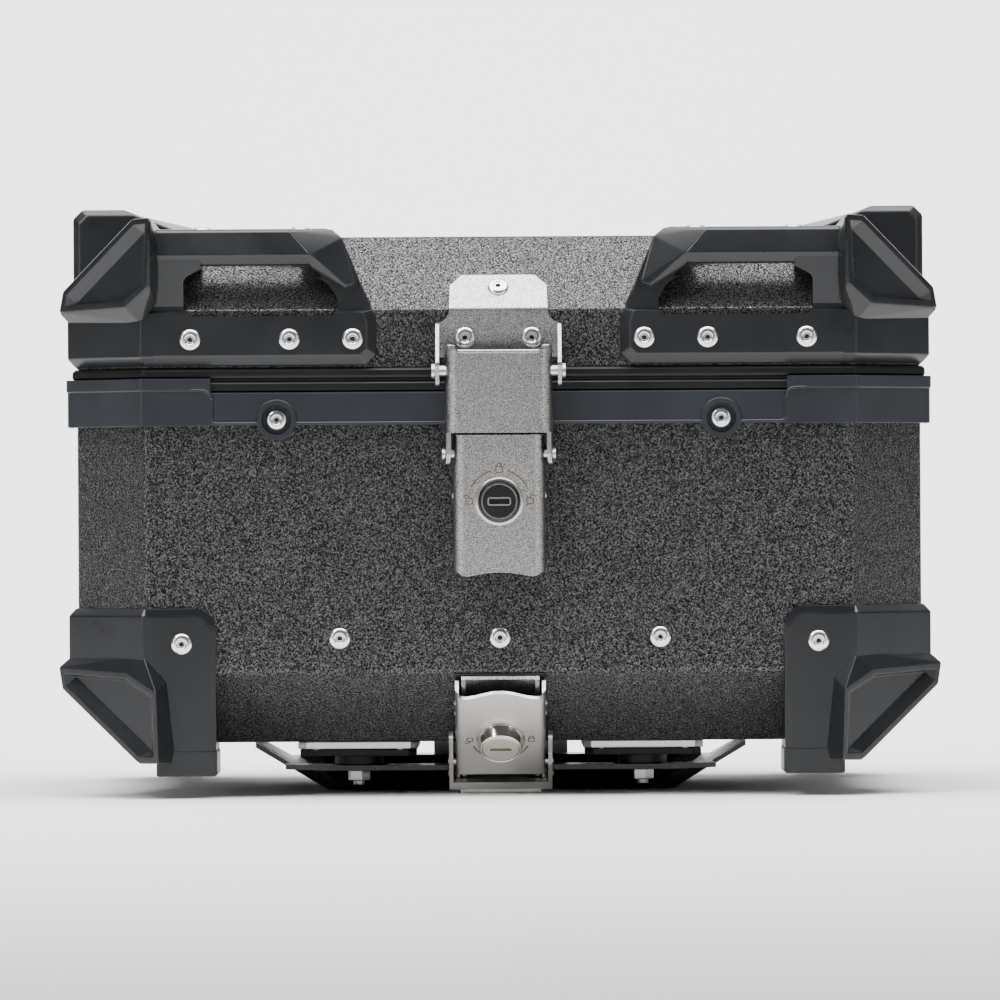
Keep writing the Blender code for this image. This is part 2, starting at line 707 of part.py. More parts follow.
def rim_frame():
    """Moulded channel over the top edge of the body, taller at the corners, with two rivet bosses."""
    inner = WALL + FIT
    section = ((FIT, RIM_BOTTOM), (RIM_OUT, RIM_BOTTOM), (RIM_OUT, RIM_TOP), (-inner - RIM_WEB, RIM_TOP),
               (-inner - RIM_WEB, BODY_TOP - RIM_INNER_DROP), (-inner, BODY_TOP - RIM_INNER_DROP),
               (-inner, BODY_TOP + FIT), (FIT, BODY_TOP + FIT))
    frame = solid("rim_frame", hoop(section), case, "black_abs")
    cap_top = RIM_TOP + RIM_CAP_RISE
    face, lip = RIM_OUT + RIM_CAP_T, RIM_OUT + RIM_LIP_T
    levels = ((RIM_BOTTOM - FIT, face), (cap_top - RIM_LIP_H - FIT, face), (cap_top - RIM_LIP_H, lip),
              (cap_top, lip))
    for side in (-1, 1):
        for end in (-1, 1):
            band = corner_band(side, end, SEAL_OUT + FIT, levels)
            weld(frame, solid(f"rim_cap_{side}_{end}", band))
    for k, (x, z) in enumerate(rim_rivet_places()):
        boss = turned(((0, 0), (RIM_BOSS_R, 0), (RIM_BOSS_R, RIM_T + RIM_BOSS_T), (0, RIM_T + RIM_BOSS_T)),
                      on_front(x, FIT, z), FRONT_OUT)
        weld(frame, solid(f"rim_boss_{k}", boss))
        cut(frame, rivet_drill(f"cut_rim_{k}", on_front(x, RIM_OUT + RIM_BOSS_T, z), FRONT_OUT, RIM_T * 2))
    return frame


def lid_seal():
    """Two-lipped rubber seal between rim and lid."""
    middle = (SEAL_BOTTOM + SEAL_TOP) / 2
    valley = SEAL_OUT - SEAL_GROOVE
    section = ((-SEAL_IN, SEAL_BOTTOM), (SEAL_OUT, SEAL_BOTTOM), (SEAL_OUT, middle - SEAL_GROOVE),
               (valley, middle), (SEAL_OUT, middle + SEAL_GROOVE), (SEAL_OUT, SEAL_TOP), (-SEAL_IN, SEAL_TOP))
    return solid("lid_seal", hoop(section), case, "rubber")


# Corner guards: a and b run out from the middle of the case, along its width and its depth
def corner_place(side, end):
    """Function that puts (a, b, z) of a corner into the case."""
    return lambda a, b, z: Vector((side * a, end * b, z))


def wing_points(place, z_edge, up, outline, plane):
    """Points of a wing outline on a guard's corner plane."""
    points = []
    for out, rise in outline:
        a = HALF_W + out * MM
        points.append(place(a, plane - a, z_edge + up * rise * MM))
    return points


def wing_hull(place, z_edge, up):
    """Wing that stands out at a guard's corner, as points for a hull."""
    plane = CORNER_SUM + GUARD_PLANE
    skin = CORNER_SUM + GUARD_T * math.sqrt(2) - GUARD_SINK
    points = wing_points(place, z_edge, up, WING_FACE, plane)
    points += wing_points(place, z_edge, up, WING_EDGE, plane - WING_EDGE_DROP)
    points += wing_points(place, z_edge, up, WING_ROOT, skin)
    front = HALF_D + GUARD_T - GUARD_SINK
    for out, rise in WING_FRONT:
        points.append(place(HALF_W + out * MM, front, z_edge + up * rise * MM))
    return points


def wing_pocket(name, place, z_edge, up):
    """Cutter of the three-cornered pocket in a wing's face."""
    plane = CORNER_SUM + GUARD_PLANE
    deep = plane - WING_POCKET_DEPTH * math.sqrt(2)
    rings = [wing_points(place, z_edge, up, WING_POCKET, level) for level in (deep, plane + WING_POCKET_DEPTH)]
    return solid(name, loft(rings))


def skirt(place, length, levels):
    """Guard wall round a corner and along the case side; levels are (z, thickness)."""
    rings = []
    for z, grow in levels:
        cut_back = CORNER_CUT + grow * (2 - math.sqrt(2))
        wide, deep = HALF_W + grow, HALF_D + grow
        start = wide - cut_back
        outline = [(start - GUARD_BEVEL * 2, deep), (start, deep), (wide, deep - cut_back),
                   (wide, HALF_D - length), (HALF_W - GUARD_BURY, HALF_D - length),
                   (HALF_W - GUARD_BURY, HALF_D - GUARD_BURY),
                   (start - GUARD_BEVEL * 2, HALF_D - GUARD_BURY)]
        rings.append([place(a, b, z) for a, b in outline])
    return loft(rings)


def lower_guard(name, side, end):
    """Lower corner guard with its foot and wing."""
    place = corner_place(side, end)
    foot, top = BODY_BOTTOM - FOOT_DROP, BODY_BOTTOM + LOWER_PLATE_TOP
    inner = HALF_W - (LOWER_PLATE_W if end < 0 else LOWER_REAR_W)
    front = HALF_D + GUARD_T
    z_edge = BODY_BOTTOM + LOWER_WING_UP
    wing_low = BODY_BOTTOM - WING_END_DROP
    plate_end = HALF_W - CORNER_CUT

    def plate_outline(inset):
        """Front plate as seen from the front, its free edges drawn in by a distance."""
        radius = LOWER_ROUND - inset
        centre = (inner + LOWER_ROUND, top - LOWER_ROUND)
        outline = [(inner + inset, foot + inset), (inner + FOOT_W - inset, foot + inset),
                   (inner + FOOT_W - inset, wing_low), (plate_end, wing_low), (plate_end, top - inset)]
        return outline + arc(centre, radius, 90, 180)

    levels = ((HALF_D - GUARD_BURY, 0), (front - GUARD_BEVEL * 0.8, 0), (front, GUARD_BEVEL))
    rings = [[place(a, b, z) for a, z in plate_outline(inset)] for b, inset in levels]
    guard = solid(name, loft(rings), case, "black_abs")

    levels = ((wing_low, GUARD_T), (top - GUARD_BEVEL + MM, GUARD_T), (top + MM, GUARD_T / 3))
    around = solid(f"{name}_skirt", skirt(place, LOWER_SIDE_LEN, levels))
    tip_out, tip_rise = WING_EDGE[1]
    diagonal = HALF_W + tip_out * MM - (z_edge - tip_rise * MM) - DIAGONAL_GAP
    reach = HALF_W
    wedge = ((diagonal - reach, -reach), (diagonal + reach, -reach), (diagonal + reach, reach))
    below = prism(wedge, 0, HALF_D * 2, lambda a, z, b: place(a, b, z))
    cut(around, solid(f"{name}_diagonal", below))
    weld(guard, around, solid(f"{name}_wing", hull(wing_hull(place, z_edge, -1))))
    cut(guard, wing_pocket(f"{name}_pocket", place, z_edge, -1))
    cut(guard, solid(f"{name}_seat", loft(body_rings(FIT))))
    if end < 0:
        seat = place(HALF_W - GUARD_RIVET_IN, HALF_D + GUARD_T, BODY_BOTTOM + GUARD_RIVET_UP)
        cut(guard, rivet_drill(f"{name}_hole", seat, FRONT_OUT, GUARD_T * 2))
    return guard


def handle_guard(name, side):
    """Front lid guard with a carrying handle and a wing."""
    place = corner_place(side, -1)
    low, top = LID_BOTTOM + UPPER_PLATE_LIFT, LID_BOTTOM + UPPER_PLATE_TOP
    front = HALF_D + GUARD_T
    shoulder = LID_BOTTOM + SHOULDER_TOP
    plate_end = HALF_W - CORNER_CUT
    z_edge = LID_BOTTOM + UPPER_WING_UP

    def plate_outline(inset):
        """Front plate seen from the front; the two shoulders stand higher than the grip opening's sill."""
        end = UPPER_PLATE_END + inset
        return [(end + UPPER_PLATE_BEVEL, low + inset), (plate_end, low + inset), (plate_end, shoulder),
                (HANDLE_POST_IN, shoulder), (HANDLE_POST_IN, top), (HANDLE_FOOT_IN, top),
                (HANDLE_FOOT_IN, shoulder), (end + MM, shoulder), (end, top),
                (end, low + inset + UPPER_PLATE_BEVEL)]

    levels = ((HALF_D - GUARD_BURY / 2, 0), (front - GUARD_BEVEL, 0), (front, UPPER_PLATE_BEVEL))
    rings = [[place(a, b, z) for a, z in plate_outline(inset)] for b, inset in levels]
    guard = solid(name, loft(rings), lid, "black_abs")

    around = skirt(place, UPPER_SIDE_LEN, ((low, GUARD_T / 4), (low + GUARD_BEVEL, GUARD_T), (top, GUARD_T)))
    weld(guard, solid(f"{name}_skirt", around))

    wing = wing_hull(place, z_edge, 1)
    roof = LID_TOP + TOP_FLANGE_T
    back = HALF_D - LID_SLOPE_FRONT - TOP_FLANGE_LAP
    wing += [place(HALF_W, back, z_edge + WING_ROOF_UP), place(HALF_W - WING_ROOF_IN, back, roof),
             place(HANDLE_OUT, back, roof), place(HANDLE_OUT - HANDLE_STEP, HALF_D - HANDLE_KNEE, roof),
             place(HALF_W, back, z_edge - WING_ROOF_UP / 2)]
    weld(guard, solid(f"{name}_wing", hull(wing)))

    section = [(HALF_D + out * MM, LID_CREASE + rise * MM) for out, rise in BAR_SECTION]
    bar = prism(section, HANDLE_IN - HANDLE_END, HANDLE_OUT + HANDLE_END, lambda b, z, a: place(a, b, z))
    weld(guard, solid(f"{name}_bar", bar))

    nose = HALF_D + HANDLE_NOSE
    step = nose - HANDLE_STEP
    root = HALF_D - HANDLE_ROOT
    under = LID_CREASE + BAR_SECTION[1][1] * MM
    chin = under + HANDLE_CHIN
    sill = shoulder + NECK_H
    leg_end = UPPER_PLATE_END + HANDLE_KNEE
    leg = [place(leg_end, step, sill), place(HANDLE_FOOT_IN - NECK_IN, step, sill),
           place(HANDLE_IN, nose, chin), place(HANDLE_IN, nose - HANDLE_END, under),
           place(HANDLE_TOP_IN, HALF_D - MM, roof),
           place(HANDLE_TOP_IN - HANDLE_ROUND, HALF_D + MM, roof - HANDLE_END),
           place(HANDLE_IN, HALF_D - MM, roof), place(HANDLE_IN, back, roof), place(HANDLE_TOP_IN, back, roof),
           place(leg_end, root, sill), place(HANDLE_FOOT_IN, root, sill)]
    reach = HANDLE_POST_IN - HANDLE_POST_REACH
    post = [place(HANDLE_POST_IN, step, sill), place(HANDLE_OUT, step, sill),
            place(reach, nose, chin), place(HANDLE_OUT, nose, chin), place(reach, nose - HANDLE_END, under),
            place(HANDLE_POST_IN, root - HANDLE_STEP, sill), place(reach, HALF_D - HANDLE_KNEE, under),
            place(HANDLE_OUT, root - HANDLE_STEP, sill), place(HANDLE_OUT, HALF_D - HANDLE_KNEE, roof - MM)]
    weld(guard, solid(f"{name}_leg", hull(leg)), solid(f"{name}_post", hull(post)))

    neck = HALF_D + GUARD_T - SHOULDER_BACK
    runs = (("in", UPPER_PLATE_END + NECK_IN, HANDLE_FOOT_IN), ("out", HANDLE_POST_IN, HANDLE_OUT))
    for part, a_low, a_high in runs:
        web = [place(a, b, z) for a in (a_low, a_high) for b in (root, neck) for z in (top, sill + MM)]
        weld(guard, solid(f"{name}_neck_{part}", hull(web)))

    flange = [place(a, b, z) for a in (HANDLE_TOP_IN, HANDLE_OUT) for b in (back, back + TOP_FLANGE_D)
              for z in (LID_TOP - MM, roof - FIT)]
    weld(guard, solid(f"{name}_flange", hull(flange)))
    cut(guard, wing_pocket(f"{name}_pocket", place, z_edge, 1))
    cut(guard, solid(f"{name}_seat", loft(lid_rings(FIT))))
    return guard


def rear_guard(name, side):
    """Square-shouldered guard on a rear corner of the lid."""
    place = corner_place(side, 1)
    out, top = HALF_W + REAR_SIDE_OUT, LID_TOP + REAR_TOP
    low = LID_BOTTOM + UPPER_PLATE_LIFT
    inner = HALF_W - REAR_INNER

    def section(draw, drop):
        """Section across the guard; draw brings its outer side in and drop its top down."""
        side_line, roof = out - draw, top - drop
        return [(inner + REAR_SEAT, LID_TOP - REAR_SEAT * 2), (inner, LID_TOP + REAR_SEAT),
                (side_line - REAR_TOP_IN - REAR_ROUND - drop, roof), (side_line - REAR_ROUND, roof),
                (side_line, roof - REAR_ROUND), (side_line, low + GUARD_T), (side_line - GUARD_T, low),
                (HALF_W - REAR_CORNER - GUARD_BURY / 2, low)]

    end = HALF_D + REAR_OUT
    stations = ((end - REAR_LENGTH, REAR_BEVEL, REAR_BEVEL), (end - REAR_LENGTH + REAR_BEVEL, 0, 0),
                (end - REAR_CORNER, 0, 0), (end, REAR_CORNER, REAR_CORNER_DROP))
    rings = [[place(a, b, z) for a, z in section(draw, drop)] for b, draw, drop in stations]
    guard = solid(name, loft(rings), lid, "black_abs")
    cut(guard, solid(f"{name}_seat", loft(lid_rings(FIT))))
    return guard


# Hasp
def pin(name, body, centre, radius, half, head_r=0, head_t=0, coat="stainless"):
    """Cross pin along X, with a head at each end if it has one."""
    profile = [(0, -half), (radius, -half), (radius, half), (0, half)]
    if head_r:
        tip = half + head_t
        profile = [(0, -tip), (head_r, -tip), (head_r, -half), (radius, -half),
                   (radius, half), (head_r, half), (head_r, tip), (0, tip)]
    return solid(name, turned(profile, centre, (1, 0, 0), sides=12), body, coat)


def cross_drill(name, centre, radius, half):
    """Drill along X through both cheeks of a sheet part."""
    return drill(name, Vector(centre) + Vector((half, 0, 0)), (1, 0, 0), radius + FIT, half * 2)


def plates(name, outline, inner, outer, place):
    """Two hidden cheek plates, left and right, from an outline of (p, q) points."""
    return [solid(f"{name}_{side}", prism(outline, inner * side, outer * side, place)) for side in (-1, 1)]


def side_view(name, outline, half):
    """Hidden slab with an outline of (out, z) points, wider than a part of a half width."""
    return solid(name, prism(outline, -half - MM, half + MM, lambda out, z, x: on_front(x, out, z)))


def slope_side_view(name, outline, half):
    """Hidden slab with an outline of (down, out) points on the lower front slope."""
    return solid(name, prism(outline, -half - MM, half + MM, lambda down, out, x: on_slope(x, down, out)))


def hasp_bracket():
    """Bent plate on the lid's front with two ears for the hasp pin."""
    near, far = FIT, FIT + BRACKET_T
    low, wide_top = LID_BOTTOM + BRACKET_LOW, LID_CREASE - BRACKET_SHOULDER
    mitre = (FRONT_OUT + LID_SLOPE_OUT) / (1 + FRONT_OUT.dot(LID_SLOPE_OUT))
    bend = on_front(0, 0, LID_CREASE)
    section = [on_front(0, near, low), on_front(0, far, low), bend + mitre * far,
               on_lid_slope(0, BRACKET_RUN, far), on_lid_slope(0, BRACKET_RUN, near), bend + mitre * near]
    side = [(-point.y - HALF_D, point.z) for point in section]
    bracket = solid("hasp_bracket", prism(side, -BRACKET_WIDE - MM, BRACKET_WIDE + MM,
                                          lambda out, z, x: on_front(x, out, z)), lid, "stainless")
    chamfer_z = on_lid_slope(0, BRACKET_RUN - BRACKET_CHAMFER, far).z
    peak = on_lid_slope(0, BRACKET_RUN, far).z
    tip = BRACKET_HALF - BRACKET_CHAMFER
    right = [(BRACKET_WIDE, low - MM), (BRACKET_WIDE, wide_top), (BRACKET_HALF, LID_CREASE),
             (BRACKET_HALF, chamfer_z), (tip, peak), (tip, peak + MM)]
    front = right + [(-x, z) for x, z in reversed(right)]
    trim(bracket, solid("hasp_front", prism(front, far + MM, -HALF_D, lambda x, z, out: on_front(x, out, z))))
    foot, nose = HASP_PIN_Z - EAR_LOW, HASP_PIN_OUT + HASP_HEAD_R + BRACKET_T
    ear = ((near + FIT, wide_top - FIT), (near + FIT, low + FIT), (EAR_BACK, low + FIT),
           (EAR_BACK + SHEET, foot), (nose - SHEET, foot), (nose, HASP_PIN_Z - BRACKET_T), (nose, HASP_PIN_Z + HASP_HEAD_R),
           (far + BRACKET_T, wide_top - FIT))
    weld(bracket, *plates("hasp_ear", ear, BRACKET_WIDE - BRACKET_T, BRACKET_WIDE - FIT,
                          lambda out, z, x: on_front(x, out, z)))
    hinge = on_front(0, HASP_PIN_OUT, HASP_PIN_Z)
    cut(bracket, cross_drill("cut_hasp_ears", hinge, HASP_PIN_R, BRACKET_WIDE + SHEET))
    for k, (seat, axis) in enumerate(hasp_rivet_places(far)):
        cut(bracket, rivet_drill(f"cut_hasp_rivet_{k}", seat, axis, BRACKET_T * 2))
    names = ("hasp_rivet_left", "hasp_rivet_right", "hasp_rivet_top")
    for name, (seat, axis) in zip(names, hasp_rivet_places(far)):
        rivet(name, lid, seat, axis, BRACKET_T + FIT + WALL + FIT)
    pin("hasp_pin", lid, hinge, HASP_PIN_R, BRACKET_WIDE + FIT, HASP_HEAD_R, HASP_HEAD_T)
    return bracket


def hasp_link():
    """Channel that swings on the hasp pin, with legs that carry the lock cover."""
    face = HASP_PIN_OUT + LINK_FACE
    back = HASP_PIN_OUT - LINK_BACK
    low, high = HASP_PIN_Z - LINK_DOWN, HASP_PIN_Z + LINK_UP
    ear_top, leg_low = HASP_PIN_Z + LINK_EAR_UP, COVER_PIN_Z - LEG_R
    outline = channel(LINK_HALF, back - MM, face, SHEET, LINK_BEND)
    piece = solid("hasp_link", prism(outline, leg_low - MM, ear_top + MM, on_front), link, "stainless")
    side = ((face + MM, low), (face + MM, high), (HASP_PIN_OUT + LINK_EAR_OUT, high),
            (HASP_PIN_OUT + LINK_EAR_OUT, ear_top), (HASP_PIN_OUT - FIT, ear_top),
            (HASP_PIN_OUT - LEG_R, HASP_PIN_Z + LEG_R), (back, HASP_PIN_Z - LEG_R), (back, low),
            (COVER_PIN_OUT - LEG_R, COVER_PIN_Z), (COVER_PIN_OUT - LEG_R * 0.6, leg_low),
            (COVER_PIN_OUT + LEG_R * 0.6, leg_low), (COVER_PIN_OUT + LEG_FRONT, COVER_PIN_Z),
            (COVER_PIN_OUT + LEG_FRONT, low))
    trim(piece, side_view("link_side", side, LINK_HALF))
    lip = box(on_front(LINK_BEND - LINK_HALF, face - SHEET / 2, high - SHEET),
              on_front(LINK_HALF - LINK_BEND, face - LINK_LIP, high - FIT))
    weld(piece, solid("link_lip", lip))
    upper = on_front(0, HASP_PIN_OUT, HASP_PIN_Z)
    lower = on_front(0, COVER_PIN_OUT, COVER_PIN_Z)
    cut(piece, cross_drill("cut_link_upper", upper, HASP_PIN_R, LINK_HALF + SHEET),
        cross_drill("cut_link_lower", lower, COVER_PIN_R, LINK_HALF + SHEET))
    pin("cover_pin", link, lower, COVER_PIN_R, LINK_HALF + FIT, COVER_PIN_R * 1.4, HASP_HEAD_T * 0.8)
    return piece


def lock_cover():
    """Channel over the catch, with the turn lock's hole."""
    low, high = COVER_PIN_Z - COVER_DOWN, COVER_PIN_Z + COVER_UP
    back = COVER_PIN_OUT - COVER_BACK
    outline = channel(COVER_HALF, back, COVER_OUT, SHEET, COVER_BEND)
    piece = solid("lock_cover", prism(outline, low, high, on_front), cover, "stainless")
    slant = ((COVER_OUT - COVER_BEND, low - MM), (back - MM, low + COVER_SLANT), (back - MM, low - MM))
    cut(piece, side_view("cut_cover_slant", slant, COVER_HALF))
    axis_point = on_front(0, COVER_OUT, LOCK_Z)
    cut(piece, drill("cut_cover_lock", axis_point, FRONT_OUT, BARREL_R + FIT, SHEET * 2),
        cross_drill("cut_cover_pin", on_front(0, COVER_PIN_OUT, COVER_PIN_Z), COVER_PIN_R, COVER_HALF + SHEET))
    return piece


def turn_lock():
    """Barrel, washer, nut, plug and cam of the lock in the cover."""
    front = BARREL_PROUD
    back = front - PLUG_LENGTH
    point = on_front(0, COVER_OUT, LOCK_Z)
    ring = ((PLUG_R + FIT, back), (BARREL_R, back), (BARREL_R, front), (PLUG_R + FIT, front))
    solid("lock_barrel", turned(ring, point, FRONT_OUT, 20, bored=True), cover, "lock_black")
    washer = ((BARREL_R + FIT, FIT), (WASHER_R, FIT), (WASHER_R, WASHER_T), (BARREL_R + FIT, WASHER_T))
    solid("lock_washer", turned(washer, point, FRONT_OUT, 20, bored=True), cover, "stainless")
    seat = -SHEET - FIT
    nut = ((BARREL_R + FIT, seat - NUT_RING_T), (NUT_RING_R, seat - NUT_RING_T), (NUT_RING_R, seat),
           (BARREL_R + FIT, seat))
    solid("lock_nut", turned(nut, point, FRONT_OUT, 20, bored=True), cover, "zinc")
    tail = back - CAM_GAP - CAM_T - FIT
    core = ((0, front), (PLUG_R, front), (PLUG_R, back), (TAIL_R, back), (TAIL_R, tail), (0, tail))
    body = solid("lock_plug", turned(core, point, FRONT_OUT, 20), plug, "lock_black")
    slot = box(on_front(-KEYWAY_W / 2, COVER_OUT + front + MM, LOCK_Z - KEYWAY_H / 2),
               on_front(KEYWAY_W / 2, COVER_OUT + front - KEYWAY_DEPTH, LOCK_Z + KEYWAY_H / 2))
    cut(body, solid("cut_keyway", slot))
    arm = ((-CAM_HALF, -CAM_HALF), (CAM_REACH, -CAM_HALF), (CAM_REACH, CAM_HALF), (-CAM_HALF, CAM_HALF))
    tongue = prism(arm, CAM_FRONT - CAM_T, CAM_FRONT, lambda x, z, out: on_front(x, out, LOCK_Z + z))
    cam = solid("lock_cam", tongue, plug, "zinc")
    cut(cam, drill("cut_cam", on_front(0, CAM_FRONT, LOCK_Z), FRONT_OUT, TAIL_R + FIT, CAM_T * 2))


def catch_plate():
    """Plate on the body's front with a hooked keeper that the cam turns behind."""
    far = FIT + BRACKET_T
    low, high = LOCK_Z - CATCH_DOWN, LOCK_Z + CATCH_UP
    plate = solid("catch_plate", box(on_front(-CATCH_HALF, far, low), on_front(CATCH_HALF, FIT, high)),
                  case, "stainless")
    top = LOCK_Z - CAM_REACH + KEEPER_H
    bar_back = CAM_FRONT + FIT
    leg = box(on_front(-KEEPER_LEG, bar_back + KEEPER_T, top - KEEPER_H),
              on_front(KEEPER_T - KEEPER_LEG, far - SHEET / 2, top))
    bar = box(on_front(-KEEPER_LEG, bar_back + KEEPER_T, top - KEEPER_H + FIT),
              on_front(KEEPER_REACH, bar_back, top - FIT))
    return weld(plate, solid("keeper_leg", leg), solid("keeper_bar", bar))


# Lever lock on the lower front slope
def slope_box(half, down_low, down_high, out_low, out_high, centre=0):
    """Box on the slope, as wide as twice its half width."""
    outline = ((centre - half, down_low), (centre + half, down_low), (centre + half, down_high),
               (centre - half, down_high))
    return prism(outline, out_low, out_high, on_slope)


def base_lock_frame():
    """Gasket and the fixed frame with two rails that carries the lever."""
    pad_end = SLOPE_LENGTH - GASKET_END
    solid("base_lock_gasket", slope_box(GASKET_HALF, GASKET_TOP, pad_end, FIT, FIT + GASKET_T), case, "rubber")
    top = FRAME_BASE + FRAME_T
    rail_in = FRAME_HALF - FRAME_T
    rail_end = LEVER_PIN_DOWN + LEVER_PIN_R * 2
    section = ((-FRAME_HALF, FRAME_BASE), (FRAME_HALF, FRAME_BASE), (FRAME_HALF, RAIL_OUT), (rail_in, RAIL_OUT),
               (rail_in, top), (-rail_in, top), (-rail_in, RAIL_OUT), (-FRAME_HALF, RAIL_OUT))
    rails = prism(section, FRAME_TOP, rail_end, lambda x, out, down: on_slope(x, down, out))
    frame = solid("base_lock_frame", rails, case, "stainless")
    side = ((FRAME_TOP - MM, 0), (rail_end - SHEET, 0), (rail_end - SHEET, LEVER_PIN_OUT - LEVER_PIN_R * 2),
            (rail_end - FIT, LEVER_PIN_OUT), (rail_end - FRAME_T * 1.5, RAIL_OUT + MM),
            (FRAME_BRIDGE, RAIL_OUT + MM),
            (FRAME_TOP + FRAME_T, top + FIT), (FRAME_TOP - MM, top + FIT))
    trim(frame, slope_side_view("frame_side", side, FRAME_HALF))
    window = slope_box(rail_in - MM, FRAME_BRIDGE, pad_end - FRAME_SILL, 0, RAIL_OUT + MM)
    mouth = slope_box(rail_in - MM, pad_end, rail_end + MM, 0, RAIL_OUT + MM)
    cut(frame, solid("cut_frame_window", window), solid("cut_frame_mouth", mouth))
    slot_low = BASE_LOCK_DOWN - BASE_CAM_HALF - RAIL_SLOT_MARGIN * 2
    slot_high = BASE_LOCK_DOWN + BASE_CAM_HALF * 2 + RAIL_SLOT_MARGIN * 4
    slot = slope_box(FRAME_T * 2, slot_low, slot_high, BASE_CAM_OUT - RAIL_SLOT_MARGIN,
                     BASE_CAM_OUT + BASE_CAM_T + RAIL_SLOT_MARGIN, centre=FRAME_HALF)
    tongue = slope_box(FRAME_TONGUE_W / 2, FRAME_TONGUE_DOWN, FRAME_TONGUE_DOWN + FRAME_TONGUE_H, 0, RAIL_OUT)
    pivot = on_slope(0, LEVER_PIN_DOWN, LEVER_PIN_OUT)
    cut(frame, solid("cut_rail_slot", slot), solid("cut_tongue_slot", tongue),
        cross_drill("cut_frame_pin", pivot, LEVER_PIN_R, FRAME_HALF + SHEET))
    pin("base_lever_pin", case, pivot, LEVER_PIN_R, LEVER_HALF + FIT)
    return frame


def base_lever():
    """Channel lever with the lower lock's hole."""
    outline = channel(LEVER_HALF, LEVER_BACK, LEVER_FACE, SHEET, LEVER_BEND)
    strip = prism(outline, LEVER_EAR_TOP, LEVER_END, lambda x, out, down: on_slope(x, down, out))
    piece = solid("base_lever", strip, lever, "stainless")
    notch = ((LEVER_EAR_TOP - MM, LEVER_FACE - LEVER_BEND), (LEVER_TOP, LEVER_FACE - LEVER_BEND),
             (LEVER_TOP, LEVER_FACE + MM), (LEVER_EAR_TOP - MM, LEVER_FACE + MM))
    cut(piece, slope_side_view("cut_lever_ears", notch, LEVER_HALF))
    face = on_slope(0, BASE_LOCK_DOWN, LEVER_FACE)
    pivot, yoke = on_slope(0, LEVER_PIN_DOWN, LEVER_PIN_OUT), on_slope(0, CLAW_PIN_DOWN, CLAW_PIN_OUT)
    cut(piece, drill("cut_lever_lock", face, SLOPE_OUT, BASE_BARREL_R + FIT, SHEET * 2),
        cross_drill("cut_lever_pin", pivot, LEVER_PIN_R, LEVER_HALF + SHEET),
        cross_drill("cut_lever_claw", yoke, CLAW_PIN_R, LEVER_HALF + SHEET))
    return piece


def base_turn_lock():
    """Coned barrel, plug and cam of the lower lock."""
    face = on_slope(0, BASE_LOCK_DOWN, LEVER_FACE)
    back = BASE_CAM_OUT + BASE_CAM_T + FIT * 2 - LEVER_FACE
    bore = BASE_PLUG_R + FIT
    cone = ((bore, back), (BASE_BARREL_R, back), (BASE_BARREL_R, FIT), (CONE_R, FIT), (CONE_R, CONE_STEP),
            (CONE_TOP_R, CONE_H), (bore, CONE_H))
    solid("base_lock_barrel", turned(cone, face, SLOPE_OUT, 24, bored=True), lever, "lock_nickel")
    tail = BASE_CAM_OUT - FIT - LEVER_FACE
    core = ((0, CONE_H), (BASE_PLUG_R, CONE_H), (BASE_PLUG_R, back), (BASE_TAIL_R, back), (BASE_TAIL_R, tail),
            (0, tail))
    body = solid("base_lock_plug", turned(core, face, SLOPE_OUT, 20), base_plug, "lock_nickel")
    top = LEVER_FACE + CONE_H
    slot = prism(((-KEYWAY_W / 2, -BASE_KEYWAY_H / 2), (KEYWAY_W / 2, -BASE_KEYWAY_H / 2),
                  (KEYWAY_W / 2, BASE_KEYWAY_H / 2), (-KEYWAY_W / 2, BASE_KEYWAY_H / 2)),
                 top - KEYWAY_DEPTH, top + MM, lambda x, down, out: on_slope(x, BASE_LOCK_DOWN + down, out))
    cut(body, solid("cut_base_keyway", slot))
    arm = ((-BASE_CAM_HALF, -BASE_CAM_HALF), (BASE_CAM_HALF, -BASE_CAM_HALF),
           (BASE_CAM_HALF, BASE_CAM_REACH), (-BASE_CAM_HALF, BASE_CAM_REACH))
    tongue = prism(arm, BASE_CAM_OUT, BASE_CAM_OUT + BASE_CAM_T,
                   lambda x, down, out: on_slope(x, BASE_LOCK_DOWN + down, out))
    hole = drill("cut_base_cam", on_slope(0, BASE_LOCK_DOWN, BASE_CAM_OUT + BASE_CAM_T), SLOPE_OUT,
                 BASE_TAIL_R + FIT, BASE_CAM_T * 2)
    cut(solid("base_lock_cam", tongue, base_plug, "zinc"), hole)


